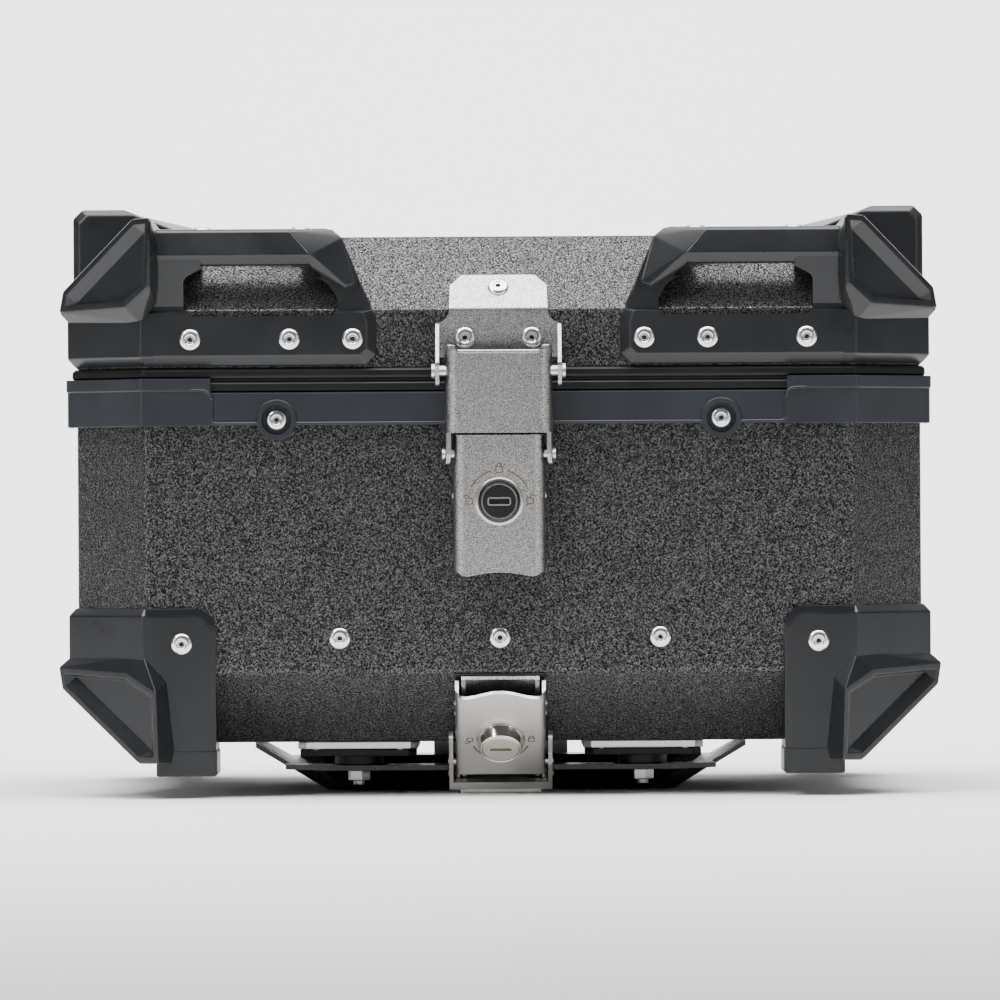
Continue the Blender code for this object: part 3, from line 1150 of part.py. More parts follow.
def base_claw():
    """Yoke that the lever draws up, with a hook under the front edge of the base plate."""
    outer = CLAW_INNER + CLAW_T
    yoke = ((-outer, CLAW_TOP), (-outer, CLAW_END), (outer, CLAW_END), (outer, CLAW_TOP),
            (CLAW_INNER, CLAW_TOP), (CLAW_INNER, CLAW_END - CLAW_T), (-CLAW_INNER, CLAW_END - CLAW_T),
            (-CLAW_INNER, CLAW_TOP))
    piece = solid("base_claw", prism(yoke, CLAW_BACK, CLAW_FACE, on_slope), claw, "stainless")
    side = ((CLAW_TOP - MM, CLAW_PIN_OUT - CLAW_PIN_R), (CLAW_PIN_DOWN - CLAW_T, CLAW_BACK - MM),
            (CLAW_END + MM, CLAW_BACK - MM), (CLAW_END + MM, CLAW_FACE + MM), (CLAW_PIN_DOWN, CLAW_FACE + MM),
            (CLAW_TOP - MM, CLAW_PIN_OUT + CLAW_PIN_R * 2))
    trim(piece, slope_side_view("claw_side", side, outer))
    hook_top = PLATE_LIFT - FIT * 2
    hook = box((-CLAW_HOOK_HALF, CLAW_HEEL_Y - CLAW_T, hook_top - CLAW_T),
               (CLAW_HOOK_HALF, -PLATE_HALF_D + CLAW_HOOK_LAP, hook_top))
    heel = on_slope(0, CLAW_END, CLAW_FACE)
    lip = box((-CLAW_HOOK_HALF, heel.y - FIT, FIT), (CLAW_HOOK_HALF, heel.y + CLAW_LIP_T, heel.z + CLAW_T))
    weld(piece, solid("claw_hook", hook), solid("claw_lip", lip))
    for side in (-1, 1):
        length = CLAW_GAP + SHEET + FIT * 2
        stud = ((0, 0), (CLAW_PIN_R, 0), (CLAW_PIN_R, length), (0, length))
        root = on_slope(side * (CLAW_INNER + FIT), CLAW_PIN_DOWN, CLAW_PIN_OUT)
        weld(piece, solid(f"claw_stud_{side}", turned(stud, root, (-side, 0, 0), 12)))
    return piece


# Base plate, mounts, rear hook and hinge
def base_plate():
    """Pressed plate: a flange on which the mounts stand, a dished middle and turned-up wings."""
    rim = octagon(PLATE_HALF_W, PLATE_HALF_D, PLATE_CORNER)
    mouth = octagon(DISH_HALF_W, DISH_HALF_D, DISH_CORNER)
    floor = octagon(DISH_HALF_W - DISH_SLOPE_X, DISH_HALF_D - DISH_SLOPE_Y, DISH_CORNER)
    slim = PLATE_T * 0.6
    inner_mouth = octagon(DISH_HALF_W + slim, DISH_HALF_D + slim, DISH_CORNER)
    inner_floor = octagon(DISH_HALF_W - DISH_SLOPE_X + slim, DISH_HALF_D - DISH_SLOPE_Y + slim, DISH_CORNER)
    rings = [at_height(floor, PLATE_T), at_height(mouth, PLATE_TOP), at_height(rim, PLATE_TOP),
             at_height(rim, PLATE_LIFT), at_height(inner_mouth, PLATE_LIFT), at_height(inner_floor, 0)]
    plate = solid("base_plate", loft(rings), case, "plate_steel")
    for side in (-1, 1):
        wing = []
        for z in (PLATE_LIFT, PLATE_TOP):
            for end in (-1, 1):
                wing.append(Vector((side * (PLATE_HALF_W - slim), end * PLATE_WING_HALF, z)))
                wing.append(Vector((side * (PLATE_HALF_W + PLATE_WING_REACH), end * PLATE_WING_HALF * 0.8,
                                    z + PLATE_WING_RISE)))
        weld(plate, solid(f"plate_wing_{side}", hull(wing)))
        for end in (-1, 1):
            centre = (side * RACK_SLOT_X, end * RACK_SLOT_Y)
            run = RACK_SLOT_LENGTH / 2 - RACK_SLOT_R
            slot = arc((centre[0] + run, centre[1]), RACK_SLOT_R, -90, 90)
            slot += arc((centre[0] - run, centre[1]), RACK_SLOT_R, 90, 270)
            cutter = loft([at_height(slot, -MM), at_height(slot, PLATE_T + MM)])
            cut(plate, solid(f"cut_slot_{side}_{end}", cutter))
            seat = Vector((side * MOUNT_X, end * MOUNT_Y, PLATE_TOP))
            cut(plate, drill(f"cut_stud_{side}_{end}", seat, (0, 0, 1), STUD_R + FIT, PLATE_T * 2))
    return plate


def mounts():
    """Four damped mounts between the plate and the case: pad, block with boss, and stud with nut."""
    for end, end_name in ((-1, "front"), (1, "rear")):
        for side, side_name in ((-1, "left"), (1, "right")):
            place = f"{end_name}_{side_name}"
            x, y = side * MOUNT_X, end * MOUNT_Y

            def shifted(outline):
                """Outline moved to the mount."""
                return [(p + x, q + y) for p, q in outline]

            pad = shifted(octagon(PAD_W / 2, PAD_D / 2, PAD_CORNER))
            solid(f"damper_pad_{place}", loft([at_height(pad, PAD_BOTTOM), at_height(pad, PAD_BOTTOM + PAD_H)]),
                  case, "pad_aluminium")
            block = shifted(octagon(BLOCK_W / 2, BLOCK_D / 2, PAD_CORNER))
            damper = solid(f"damper_block_{place}",
                           loft([at_height(block, BLOCK_BOTTOM), at_height(block, BLOCK_BOTTOM + BLOCK_H)]),
                           case, "rubber")
            boss = ((0, 0), (BOSS_R, 0), (BOSS_R, BOSS_H + BLOCK_H / 2), (0, BOSS_H + BLOCK_H / 2))
            weld(damper, solid(f"boss_{place}", turned(boss, (x, y, BOSS_BOTTOM), (0, 0, 1), 20)))
            top = BOSS_BOTTOM - FIT
            nut = PLATE_LIFT - FIT
            stud = ((0, top), (STUD_R, top), (STUD_R, nut - NUT_H - STUD_TAIL), (0, nut - NUT_H - STUD_TAIL))
            bolt = solid(f"mount_stud_{place}", turned(stud, (x, y, 0), (0, 0, 1), 12), case, "zinc")
            hexagon = ((0, nut), (NUT_R, nut), (NUT_R, nut - NUT_H), (0, nut - NUT_H))
            weld(bolt, solid(f"nut_{place}", turned(hexagon, (x, y, 0), (0, 0, 1), 6)))


def rear_hook():
    """Hook under the case that holds the rear edge of the base plate."""
    leg = PLATE_HALF_D + FIT * 3
    top = BODY_BOTTOM - FIT
    low = PLATE_LIFT - FIT * 2 - HOOK_T
    outline = ((leg - HOOK_LAP, low), (leg + HOOK_T, low), (leg + HOOK_T, top), (leg + HOOK_T - HOOK_FOOT, top),
               (leg + HOOK_T - HOOK_FOOT, top - HOOK_T), (leg, top - HOOK_T), (leg, low + HOOK_T),
               (leg - HOOK_LAP, low + HOOK_T))
    hook = prism(outline, -HOOK_HALF, HOOK_HALF, lambda y, z, x: Vector((x, y, z)))
    return solid("rear_hook", hook, case, "zinc")


def hinge():
    """Rear hinge: body leaf, lid leaf and pin."""
    out = HINGE_Y - HALF_D
    place = lambda p, z, x: on_rear(x, p, z)
    near = RIM_OUT + FIT
    body_leaf_top = HINGE_Z - HINGE_R - LEAF_CLEAR
    leaf = ((near, body_leaf_top - LEAF_DROP), (near + LEAF_T, body_leaf_top - LEAF_DROP),
            (near + LEAF_T, body_leaf_top), (near, body_leaf_top))
    body_leaf = solid("hinge_leaf_body", prism(leaf, -HINGE_HALF, HINGE_HALF, place), case, "zinc")
    lid_low = LID_BOTTOM + LEAF_LIFT
    plate = ((FIT, lid_low), (FIT + LEAF_T, lid_low), (FIT + LEAF_T, lid_low + LEAF_RISE),
             (FIT, lid_low + LEAF_RISE))
    lid_leaf = solid("hinge_leaf_lid", prism(plate, -HINGE_HALF, HINGE_HALF, place), lid, "zinc")
    pitch = HINGE_HALF * 2 / HINGE_KNUCKLES
    for k in range(HINGE_KNUCKLES):
        start, end = -HINGE_HALF + pitch * k + FIT, -HINGE_HALF + pitch * (k + 1) - FIT
        barrel = ((0, 0), (HINGE_R, 0), (HINGE_R, end - start), (0, end - start))
        knuckle = solid(f"knuckle_{k}", turned(barrel, on_rear(start, out, HINGE_Z), (1, 0, 0), 16))
        if k % 2 == 0:
            neck = ((near, body_leaf_top - LEAF_T), (near + LEAF_T, body_leaf_top - LEAF_T),
                    (out + LEAF_T / 2, HINGE_Z - LEAF_T), (out - LEAF_T, HINGE_Z))
            weld(body_leaf, solid(f"neck_{k}", prism(neck, start, end, place)), knuckle)
        else:
            neck = ((FIT + MM, lid_low), (out, HINGE_Z + LEAF_T / 2), (out, HINGE_Z + HINGE_R - FIT),
                    (FIT + MM, lid_low + LEAF_T))
            weld(lid_leaf, solid(f"neck_{k}", prism(neck, start, end, place)), knuckle)
    bore = drill("cut_hinge", on_rear(HINGE_HALF + MM, out, HINGE_Z), (1, 0, 0), HINGE_PIN_R + FIT,
                 HINGE_HALF * 2 + 2 * MM)
    cut(body_leaf, bore)
    cut(lid_leaf, bore)
    pin("hinge_pin", case, on_rear(0, out, HINGE_Z), HINGE_PIN_R, HINGE_HALF, coat="zinc")


def build():
    """Whole top case."""
    body_shell()
    lid_shell()
    case_rivets()
    floor_mat()
    rim_frame()
    lid_seal()
    for end, end_name in ((-1, "front"), (1, "rear")):
        for side, side_name in ((-1, "left"), (1, "right")):
            lower_guard(f"lower_guard_{end_name}_{side_name}", side, end)
    for side, side_name in ((-1, "left"), (1, "right")):
        handle_guard(f"handle_guard_{side_name}", side)
        rear_guard(f"lid_guard_rear_{side_name}", side)
    hasp_bracket()
    hasp_link()
    lock_cover()
    turn_lock()
    catch_plate()
    base_lock_frame()
    base_lever()
    base_turn_lock()
    base_claw()
    base_plate()
    mounts()
    rear_hook()
    hinge()


build()
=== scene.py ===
"""Looks of an aluminium motorcycle top case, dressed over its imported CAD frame.

Every piece is made in the row frame in metres: X runs along the case, the front with the locks faces -Y and
+Z is up.
"""

import logging
import math
from dataclasses import dataclass
from enum import Enum
from typing import Any, Callable, ClassVar, Iterable, Sequence

import bmesh
import bpy
from mathutils import Matrix, Vector


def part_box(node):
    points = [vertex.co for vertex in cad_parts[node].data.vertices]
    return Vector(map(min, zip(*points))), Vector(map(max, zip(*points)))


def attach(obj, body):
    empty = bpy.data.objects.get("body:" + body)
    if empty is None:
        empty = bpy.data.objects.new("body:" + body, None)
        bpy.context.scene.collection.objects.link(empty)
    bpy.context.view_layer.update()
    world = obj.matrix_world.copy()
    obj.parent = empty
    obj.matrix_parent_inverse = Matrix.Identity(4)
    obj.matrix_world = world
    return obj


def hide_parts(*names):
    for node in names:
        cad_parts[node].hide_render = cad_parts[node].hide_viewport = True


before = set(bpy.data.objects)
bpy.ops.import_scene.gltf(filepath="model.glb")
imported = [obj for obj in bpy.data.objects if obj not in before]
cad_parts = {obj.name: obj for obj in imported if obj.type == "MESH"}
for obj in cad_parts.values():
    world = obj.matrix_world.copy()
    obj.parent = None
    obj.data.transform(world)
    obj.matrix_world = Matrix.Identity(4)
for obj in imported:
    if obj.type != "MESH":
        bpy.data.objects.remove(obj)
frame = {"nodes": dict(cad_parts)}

LOG = logging.getLogger("top_case")
MM = 0.001
WEAR = "edge_wear"
FRONT = Vector((0, -1, 0))
REAR = Vector((0, 1, 0))
UP = Vector((0, 0, 1))
DOWN = Vector((0, 0, -1))
ALONG = Vector((1, 0, 0))
SIDES = ((-1, "left"), (1, "right"))
ENDS = ((-1, "front"), (1, "rear"))

Point = tuple[float, float]
Mesh = bmesh.types.BMesh
Place = Callable[[float, float, float], Vector]


class Body(Enum):
    """CAD bodies that pieces ride on."""

    CASE = "case"
    LID = "lid"
    LINK = "hasp_link"
    COVER = "lock_cover"
    PLUG = "lock_plug"
    LEVER = "base_lever"
    BASE_PLUG = "base_plug"
    CLAW = "base_claw"


class Fuse(Enum):
    """Ways to combine two solids."""

    JOIN = "UNION"
    CUT = "DIFFERENCE"
    KEEP = "INTERSECT"


class Wiring:
    """Short hand for building a shader or geometry node tree."""

    def __init__(self, tree: bpy.types.NodeTree) -> None:
        """Keep the tree that is wired."""
        self.tree = tree

    def add(self, kind: str, settings: dict[str, Any] | None = None, **inputs: Any) -> bpy.types.Node:
        """Add a node.

        Args:
            kind: Blender's name of the node type.
            settings: Properties of the node itself.
            inputs: Values or sockets for its inputs; an underscore stands for a space.

        Returns:
            The new node.
        """
        node = self.tree.nodes.new(kind)
        for name, value in (settings or {}).items():
            setattr(node, name, value)
        for name, value in inputs.items():
            self.feed(node.inputs[name.replace("_", " ")], value)
        return node

    def feed(self, socket: bpy.types.NodeSocket, value: Any) -> None:
        """Link a socket into an input, or set the input's own value."""
        if isinstance(value, bpy.types.NodeSocket):
            self.tree.links.new(value, socket)
        else:
            socket.default_value = value

    def math(self, operation: str, first: Any, second: Any = 0.0,
             clamp: bool = False) -> bpy.types.NodeSocket:
        """Add a math node and return its result."""
        node = self.add("ShaderNodeMath", {"operation": operation, "use_clamp": clamp})
        self.feed(node.inputs[0], first)
        self.feed(node.inputs[1], second)
        return node.outputs[0]

    def spread(self, value: Any, low: float, high: float, to_low: float = 0.0,
               to_high: float = 1.0) -> bpy.types.NodeSocket:
        """Map a value's range onto another one, clamped."""
        node = self.add("ShaderNodeMapRange", Value=value, From_Min=low, From_Max=high, To_Min=to_low,
                        To_Max=to_high)
        return node.outputs["Result"]

    def blend(self, factor: Any, first: Any, second: Any) -> bpy.types.NodeSocket:
        """Mix two colours by a factor and return the colour."""
        node = self.add("ShaderNodeMix", {"data_type": "RGBA"})
        colours = [socket for socket in node.inputs if socket.type == "RGBA"]
        self.feed(node.inputs["Factor"], factor)
        self.feed(colours[0], first)
        self.feed(colours[1], second)
        return next(socket for socket in node.outputs if socket.type == "RGBA")

    def noise(self, scale: Any, detail: float, vector: Any, roughness: float = 0.5,
              distortion: float = 0.0) -> bpy.types.NodeSocket:
        """Add a noise texture and return its value."""
        node = self.add("ShaderNodeTexNoise", Vector=vector, Scale=scale, Detail=detail, Roughness=roughness,
                        Distortion=distortion)
        return node.outputs[0]


class EffectGroups:
    """Shader node groups that several finishes share, each built once."""

    @staticmethod
    def _open(name: str, inputs: Sequence[str],
              outputs: Sequence[str]) -> tuple[bpy.types.NodeTree, Wiring, bpy.types.Node, bpy.types.Node]:
        """Start a group with number sockets.

        Args:
            name: Name of the group.
            inputs: Names of its inputs.
            outputs: Names of its outputs.

        Returns:
            The tree, its wiring, the input node and the output node.
        """
        tree = bpy.data.node_groups.new(name, "ShaderNodeTree")
        for label in inputs:
            tree.interface.new_socket(label, in_out="INPUT", socket_type="NodeSocketFloat")
        for label in outputs:
            tree.interface.new_socket(label, in_out="OUTPUT", socket_type="NodeSocketFloat")
        wiring = Wiring(tree)
        return tree, wiring, wiring.add("NodeGroupInput"), wiring.add("NodeGroupOutput")

    @classmethod
    def pebble(cls) -> bpy.types.NodeTree:
        """Pebbled hammer coat: the height of its worms and pits, and a mask of their crests, which sets their
        gloss and their painted highlight.
        """
        known = bpy.data.node_groups.get("pebble_coat")
        if known:
            return known
        tree, wiring, start, end = cls._open("pebble_coat", ("Scale", "Fine Scale"), ("Height", "Crest"))
        place = wiring.add("ShaderNodeTexCoord").outputs["Object"]
        worms = wiring.noise(start.outputs["Scale"], 1.0, place, 0.5, 0.55)
        fine = wiring.noise(start.outputs["Fine Scale"], 2.0, place, 0.55)
        height = wiring.math("ADD", wiring.math("MULTIPLY", worms, 0.82), wiring.math("MULTIPLY", fine, 0.18))
        wiring.feed(end.inputs["Height"], height)
        # The crest mask is squared so that the painted crest highlight falls on fewer, brighter spots.
        rise = wiring.spread(height, 0.34, 0.68)
        wiring.feed(end.inputs["Crest"], wiring.math("MULTIPLY", rise, rise))
        return tree

    @classmethod
    def wear(cls) -> bpy.types.NodeTree:
        """Broken line of wear along the rounded edges of a piece."""
        known = bpy.data.node_groups.get("edge_wear_mask")
        if known:
            return known
        tree, wiring, start, end = cls._open("edge_wear_mask", ("Scale", "Amount"), ("Wear",))
        place = wiring.add("ShaderNodeTexCoord").outputs["Object"]
        edge = wiring.add("ShaderNodeAttribute", {"attribute_name": WEAR}).outputs["Fac"]
        patches = wiring.spread(wiring.noise(start.outputs["Scale"], 3.0, place, 0.6), 0.35, 0.65)
        worn = wiring.math("MULTIPLY", edge, patches)
        wiring.feed(end.inputs["Wear"], wiring.math("MULTIPLY", worn, start.outputs["Amount"], clamp=True))
        return tree

    @classmethod
    def grain(cls) -> bpy.types.NodeTree:
        """Fine even grain of moulded plastic, rubber and blasted metal, with a slow mottle."""
        known = bpy.data.node_groups.get("fine_grain")
        if known:
            return known
        tree, wiring, start, end = cls._open("fine_grain", ("Scale", "Mottle Scale"), ("Height", "Mottle"))
        place = wiring.add("ShaderNodeTexCoord").outputs["Object"]
        wiring.feed(end.inputs["Height"], wiring.noise(start.outputs["Scale"], 2.5, place, 0.55))
        wiring.feed(end.inputs["Mottle"], wiring.noise(start.outputs["Mottle Scale"], 3.0, place, 0.6))
        return tree


@dataclass(frozen=True)
class Finish:
    """One surface finish: the slot that its material is named after, and the plain values of its shader."""

    MOTTLE_SCALE: ClassVar[float] = 38.0
    WEAR_SCALE: ClassVar[float] = 160.0
    slot: str
    colour: tuple[float, float, float]
    roughness: float
    metallic: float = 0.0
    bump: float = 0.1
    relief: float = 0.1 * MM
    grain_scale: float = 1800.0
    mottle: float = 0.12
    # Strength of light and dark specks painted in as glints of light on the grain.
    painted_glint: float = 0.0
    wear: float = 0.0
    wear_colour: tuple[float, float, float] = (0.6, 0.6, 0.6)
    specular: float = 0.5
    name: str = ""

    def material(self) -> bpy.types.Material:
        """Material of this finish, made the first time it is asked for."""
        name = self.name or f"{self.slot}_finish"
        known = bpy.data.materials.get(name)
        if known:
            return known
        material = bpy.data.materials.new(name)
        material.use_nodes = True
        shader = material.node_tree.nodes["Principled BSDF"]
        shader.inputs["Metallic"].default_value = self.metallic
        shader.inputs["Roughness"].default_value = self.roughness
        shader.inputs["Specular IOR Level"].default_value = self.specular
        material.diffuse_color = (*self.colour, 1.0)
        self.dress(Wiring(material.node_tree), shader)
        return material

    def shade(self, factor: float) -> tuple[float, float, float, float]:
        """Colour of the finish made lighter or darker."""
        return tuple(min(channel * factor, 1.0) for channel in self.colour) + (1.0,)

    def dress(self, wiring: Wiring, shader: bpy.types.Node) -> None:
        """Wire the grain, mottle, painted glint specks and edge wear of the finish into its shader.

        Args:
            wiring: Wiring of the material's tree.
            shader: Its Principled node.
        """
        grain = wiring.add("ShaderNodeGroup", {"node_tree": EffectGroups.grain()}, Scale=self.grain_scale,
                           Mottle_Scale=self.MOTTLE_SCALE)
        source, amount = grain.outputs["Mottle"], self.mottle
        # Painted glints: light and dark specks from the grain's height replace the mottle and stand for light
        # sparkling on blasted metal.
        if self.painted_glint:
            source, amount = grain.outputs["Height"], self.painted_glint
        patches = wiring.spread(source, 0.32, 0.68)
        colour = wiring.blend(patches, self.shade(1.0 - amount), self.shade(1.0 + amount))
        if self.wear:
            worn = wiring.add("ShaderNodeGroup", {"node_tree": EffectGroups.wear()}, Scale=self.WEAR_SCALE,
                              Amount=self.wear)
            colour = wiring.blend(worn.outputs["Wear"], colour, (*self.wear_colour, 1.0))
        wiring.feed(shader.inputs["Base Color"], colour)
        rough = wiring.spread(grain.outputs["Mottle"], 0.3, 0.7, self.roughness * 0.9, self.roughness * 1.1)
        wiring.feed(shader.inputs["Roughness"], rough)
        self.emboss(wiring, shader, grain.outputs["Height"])

    def emboss(self, wiring: Wiring, shader: bpy.types.Node, height: bpy.types.NodeSocket) -> None:
        """Wire a height into the shader's normal.

        Args:
            wiring: Wiring of the material's tree.
            shader: Its Principled node.
            height: Socket that gives the height.
        """
        bump = wiring.add("ShaderNodeBump", Strength=self.bump, Distance=self.relief, Height=height)
        wiring.feed(shader.inputs["Normal"], bump.outputs["Normal"])


@dataclass(frozen=True)
class HammerCoat(Finish):
    """Pebbled powder coat: dull pits painted near-black as shade, between glossy crests painted lighter,
    partly as the coat's own two-tone and partly as painted highlight.
    """

    pebble_scale: float = 1450.0
    fine_scale: float = 3400.0
    # Colour of the crests: partly the coat's own lighter tone, partly painted highlight.
    crest_colour_and_highlight: tuple[float, float, float] = (0.115, 0.115, 0.116)
    gloss: float = 1.0
    gloss_roughness: float = 0.22
    gloss_ior: float = 1.85

    def dress(self, wiring: Wiring, shader: bpy.types.Node) -> None:
        """Wire the pebbles into colour, gloss and bump; the colour paints shade into the pits and highlight
        onto the crests.

        Args:
            wiring: Wiring of the material's tree.
            shader: Its Principled node.
        """
        pebble = wiring.add("ShaderNodeGroup", {"node_tree": EffectGroups.pebble()}, Scale=self.pebble_scale,
                            Fine_Scale=self.fine_scale)
        crest = pebble.outputs["Crest"]
        # Painted light: the near-black pits stand for shade and the lighter crests stand for highlight.
        colour = wiring.blend(crest, self.shade(1.0), (*self.crest_colour_and_highlight, 1.0))
        wiring.feed(shader.inputs["Base Color"], colour)
        wiring.feed(shader.inputs["Coat Weight"], wiring.math("MULTIPLY", crest, self.gloss))
        shader.inputs["Coat Roughness"].default_value = self.gloss_roughness
        shader.inputs["Coat IOR"].default_value = self.gloss_ior
        self.emboss(wiring, shader, pebble.outputs["Height"])


# The base colour is the pits' painted shade; the crest colour paints the crests lighter as highlight.
HAMMER = HammerCoat("hammer_coat", (0.002, 0.002, 0.002), 0.5, bump=1.0, relief=0.55 * MM, specular=0.05)
ABS = Finish("black_abs", (0.0095, 0.0107, 0.0125), 0.3, bump=0.3, grain_scale=2400.0, wear=0.10,
             wear_colour=(0.06, 0.06, 0.065), specular=0.45)
RIM_ABS = Finish("black_abs", (0.0115, 0.0145, 0.019), 0.4, bump=0.3, grain_scale=2400.0, wear=0.10,
                 wear_colour=(0.05, 0.055, 0.065), specular=0.4, name="rim_abs_finish")
# Stainless steel carries strong painted glint specks; the smooth steel carries faint ones.
STEEL = Finish("stainless", (0.36, 0.357, 0.35), 0.3, 1.0, bump=1.0, relief=0.16 * MM, grain_scale=1900.0,
               painted_glint=0.8)
SMOOTH_STEEL = Finish("stainless", (0.66, 0.645, 0.62), 0.32, 1.0, bump=0.3, grain_scale=2600.0, painted_glint=0.1,
                      name="lever_steel_finish")
ETCHED = Finish("stainless", (0.13, 0.058, 0.03), 0.5, bump=0.1, mottle=0.25, name="etched_mark_finish")
ALUMINIUM = Finish("rivet_aluminium", (0.86, 0.87, 0.88), 0.25, 1.0, bump=0.05, grain_scale=2600.0,
                   mottle=0.04)
# Mandrels painted near-black as the shade inside each rivet's hole.
MANDREL = Finish("rivet_aluminium", (0.02, 0.02, 0.02), 0.5, 0.6, bump=0.1, name="rivet_mandrel_hole_shade")
PAD = Finish("pad_aluminium", (0.80, 0.80, 0.79), 0.42, 1.0, bump=0.2, grain_scale=1500.0, mottle=0.06)
RUBBER = Finish("rubber", (0.006, 0.006, 0.0065), 0.42, bump=0.2, grain_scale=1400.0, mottle=0.2,
                specular=0.25)
PLATE = Finish("plate_steel", (0.008, 0.008, 0.009), 0.28, bump=0.12, grain_scale=1200.0, wear=0.15,
               wear_colour=(0.09, 0.09, 0.09))
ZINC = Finish("zinc", (0.66, 0.66, 0.64), 0.34, 1.0, bump=0.15, grain_scale=1600.0, mottle=0.12)
LOCK_BLACK = Finish("lock_black", (0.008, 0.008, 0.009), 0.22, bump=0.05, mottle=0.1)
LOCK_RING = Finish("lock_black", (0.70, 0.70, 0.69), 0.2, 1.0, bump=0.03, mottle=0.04,
                   name="lock_ring_finish")
NICKEL = Finish("lock_nickel", (0.70, 0.665, 0.60), 0.16, 1.0, bump=0.05, mottle=0.04)
FOAM = Finish("mat_foam", (0.02, 0.02, 0.022), 0.9, bump=0.9, grain_scale=700.0, mottle=0.25)


class Forge:
    """Mesh work that the sub-assemblies share."""

    SHARP: ClassVar[float] = 20.0
    EVEN_WEIGHT: ClassVar[int] = 80
    SHELL_FLAT: ClassVar[float] = 0.7
    HULL_FLAT: ClassVar[float] = 0.5

    @staticmethod
    def copy(*nodes: str) -> Mesh:
        """Merged copy of CAD nodes with its flat faces whole again.

        Args:
            nodes: Names of the CAD nodes.

        Returns:
            A mesh that can be worked on.
        """
        build = bmesh.new()
        for node in nodes:
            build.from_mesh(frame["nodes"][node].data)
        bmesh.ops.remove_doubles(build, verts=build.verts, dist=0.02 * MM)
        bmesh.ops.dissolve_degenerate(build, edges=build.edges, dist=0.02 * MM)
        bmesh.ops.dissolve_limit(build, angle_limit=math.radians(Forge.SHELL_FLAT), verts=build.verts,
                                 edges=build.edges)
        return build

    @staticmethod
    def loft(rings: Sequence[Sequence[Vector]], closed: bool = False) -> Mesh:
        """Closed shape through rings of points.

        Args:
            rings: Rings of as many points each.
            closed: Whether the last ring runs back into the first one.

        Returns:
            The mesh, facing outwards.
        """
        build = bmesh.new()
        rows = [[build.verts.new(point) for point in ring] for ring in rings]
        pairs = list(zip(rows, rows[1:]))
        if closed:
            pairs.append((rows[-1], rows[0]))
        for low, high in pairs:
            for k, _ in enumerate(low):
                after = (k + 1) % len(low)
                build.faces.new((low[k], low[after], high[after], high[k]))
        if not closed:
            build.faces.new(reversed(rows[0]))
            build.faces.new(rows[-1])
        bmesh.ops.remove_doubles(build, verts=build.verts, dist=0.001 * MM)
        build.normal_update()
        bmesh.ops.recalc_face_normals(build, faces=build.faces)
        return build

    @staticmethod
    def prism(outline: Sequence[Point], low: float, high: float, place: Place) -> Mesh:
        """Outline drawn out from one height to another.

        Args:
            outline: Points of (p, q).
            low: Height of the first end.
            high: Height of the second end.
            place: Function that puts (p, q, height) into the row frame.

        Returns:
            The mesh.
        """
        return Forge.loft([[place(p, q, level) for p, q in outline] for level in (low, high)])

    @staticmethod
    def hull(points: Iterable[Vector]) -> Mesh:
        """Smallest convex shape round points."""
        build = bmesh.new()
        for point in points:
            build.verts.new(point)
        made = bmesh.ops.convex_hull(build, input=build.verts)
        spare = [item for item in made["geom_interior"] if isinstance(item, bmesh.types.BMVert)]
        bmesh.ops.delete(build, geom=spare, context="VERTS")
        bmesh.ops.dissolve_limit(build, angle_limit=math.radians(Forge.HULL_FLAT), verts=build.verts,
                                 edges=build.edges)
        build.normal_update()
        bmesh.ops.recalc_face_normals(build, faces=build.faces)
        return build

    @staticmethod
    def turned(profile: Sequence[Point], base: Vector, axis: Vector, sides: int = 32,
               bored: bool = False) -> Mesh:
        """Shape turned about an axis.

        Args:
            profile: Points of radius and height; a radius of nought closes an end.
            base: Where height nought is.
            axis: Direction of height.
            sides: Faces round it.
            bored: Whether the last point joins the first one.

        Returns:
            The mesh.
        """
        build = bmesh.new()
        axis = Vector(axis).normalized()
        across = axis.orthogonal().normalized()
        rows = []
        for radius, height in profile:
            centre = Vector(base) + axis * height
            if radius == 0:
                rows.append([build.verts.new(centre)])
                continue
            arms = [Matrix.Rotation(2 * math.pi * k / sides, 3, axis) @ across for k in range(sides)]
            rows.append([build.verts.new(centre + arm * radius) for arm in arms])
        pairs = list(zip(rows, rows[1:]))
        if bored:
            pairs.append((rows[-1], rows[0]))
        for low, high in pairs:
            for k in range(sides):
                after = (k + 1) % sides
                corners = [low[k % len(low)], low[after % len(low)], high[after % len(high)],
                           high[k % len(high)]]
                build.faces.new(list(dict.fromkeys(corners)))
        build.normal_update()
        bmesh.ops.recalc_face_normals(build, faces=build.faces)
        return build

    @staticmethod
    def drill(radius: float, base: Vector, axis: Vector, reach: float = 4 * MM) -> Mesh:
        """Cutter of a round hole.

        Args:
            radius: Radius of the hole.
            base: Point on the face that it goes through.
            axis: Direction of the hole.
            reach: How far the cutter reaches to either side of the face.

        Returns:
            The mesh.
        """
        return Forge.turned(((0, reach), (radius, reach), (radius, -reach), (0, -reach)), base, axis, 40)

    @staticmethod
    def stroke(path: Sequence[Point], width: float, thick: float, place: Place,
               closed: bool = False) -> Mesh:
        """Flat line of even width along a path.

        Args:
            path: Points of (p, q).
            width: Width of the line.
            thick: How far it stands up from height nought.
            place: Function that puts (p, q, height) into the row frame.
            closed: Whether the path runs back to its start.

        Returns:
            The mesh.
        """
        points = [Vector(point) for point in path]
        rings = []
        for k, point in enumerate(points):
            before = points[k - 1] if k or closed else point
            after = points[(k + 1) % len(points)] if k + 1 < len(points) or closed else point
            along = (after - before).normalized()
            across = Vector((-along.y, along.x)) * width / 2
            left, right = point + across, point - across
            rings.append([place(*left, 0.0), place(*right, 0.0), place(*right, thick), place(*left, thick)])
        return Forge.loft(rings, closed)

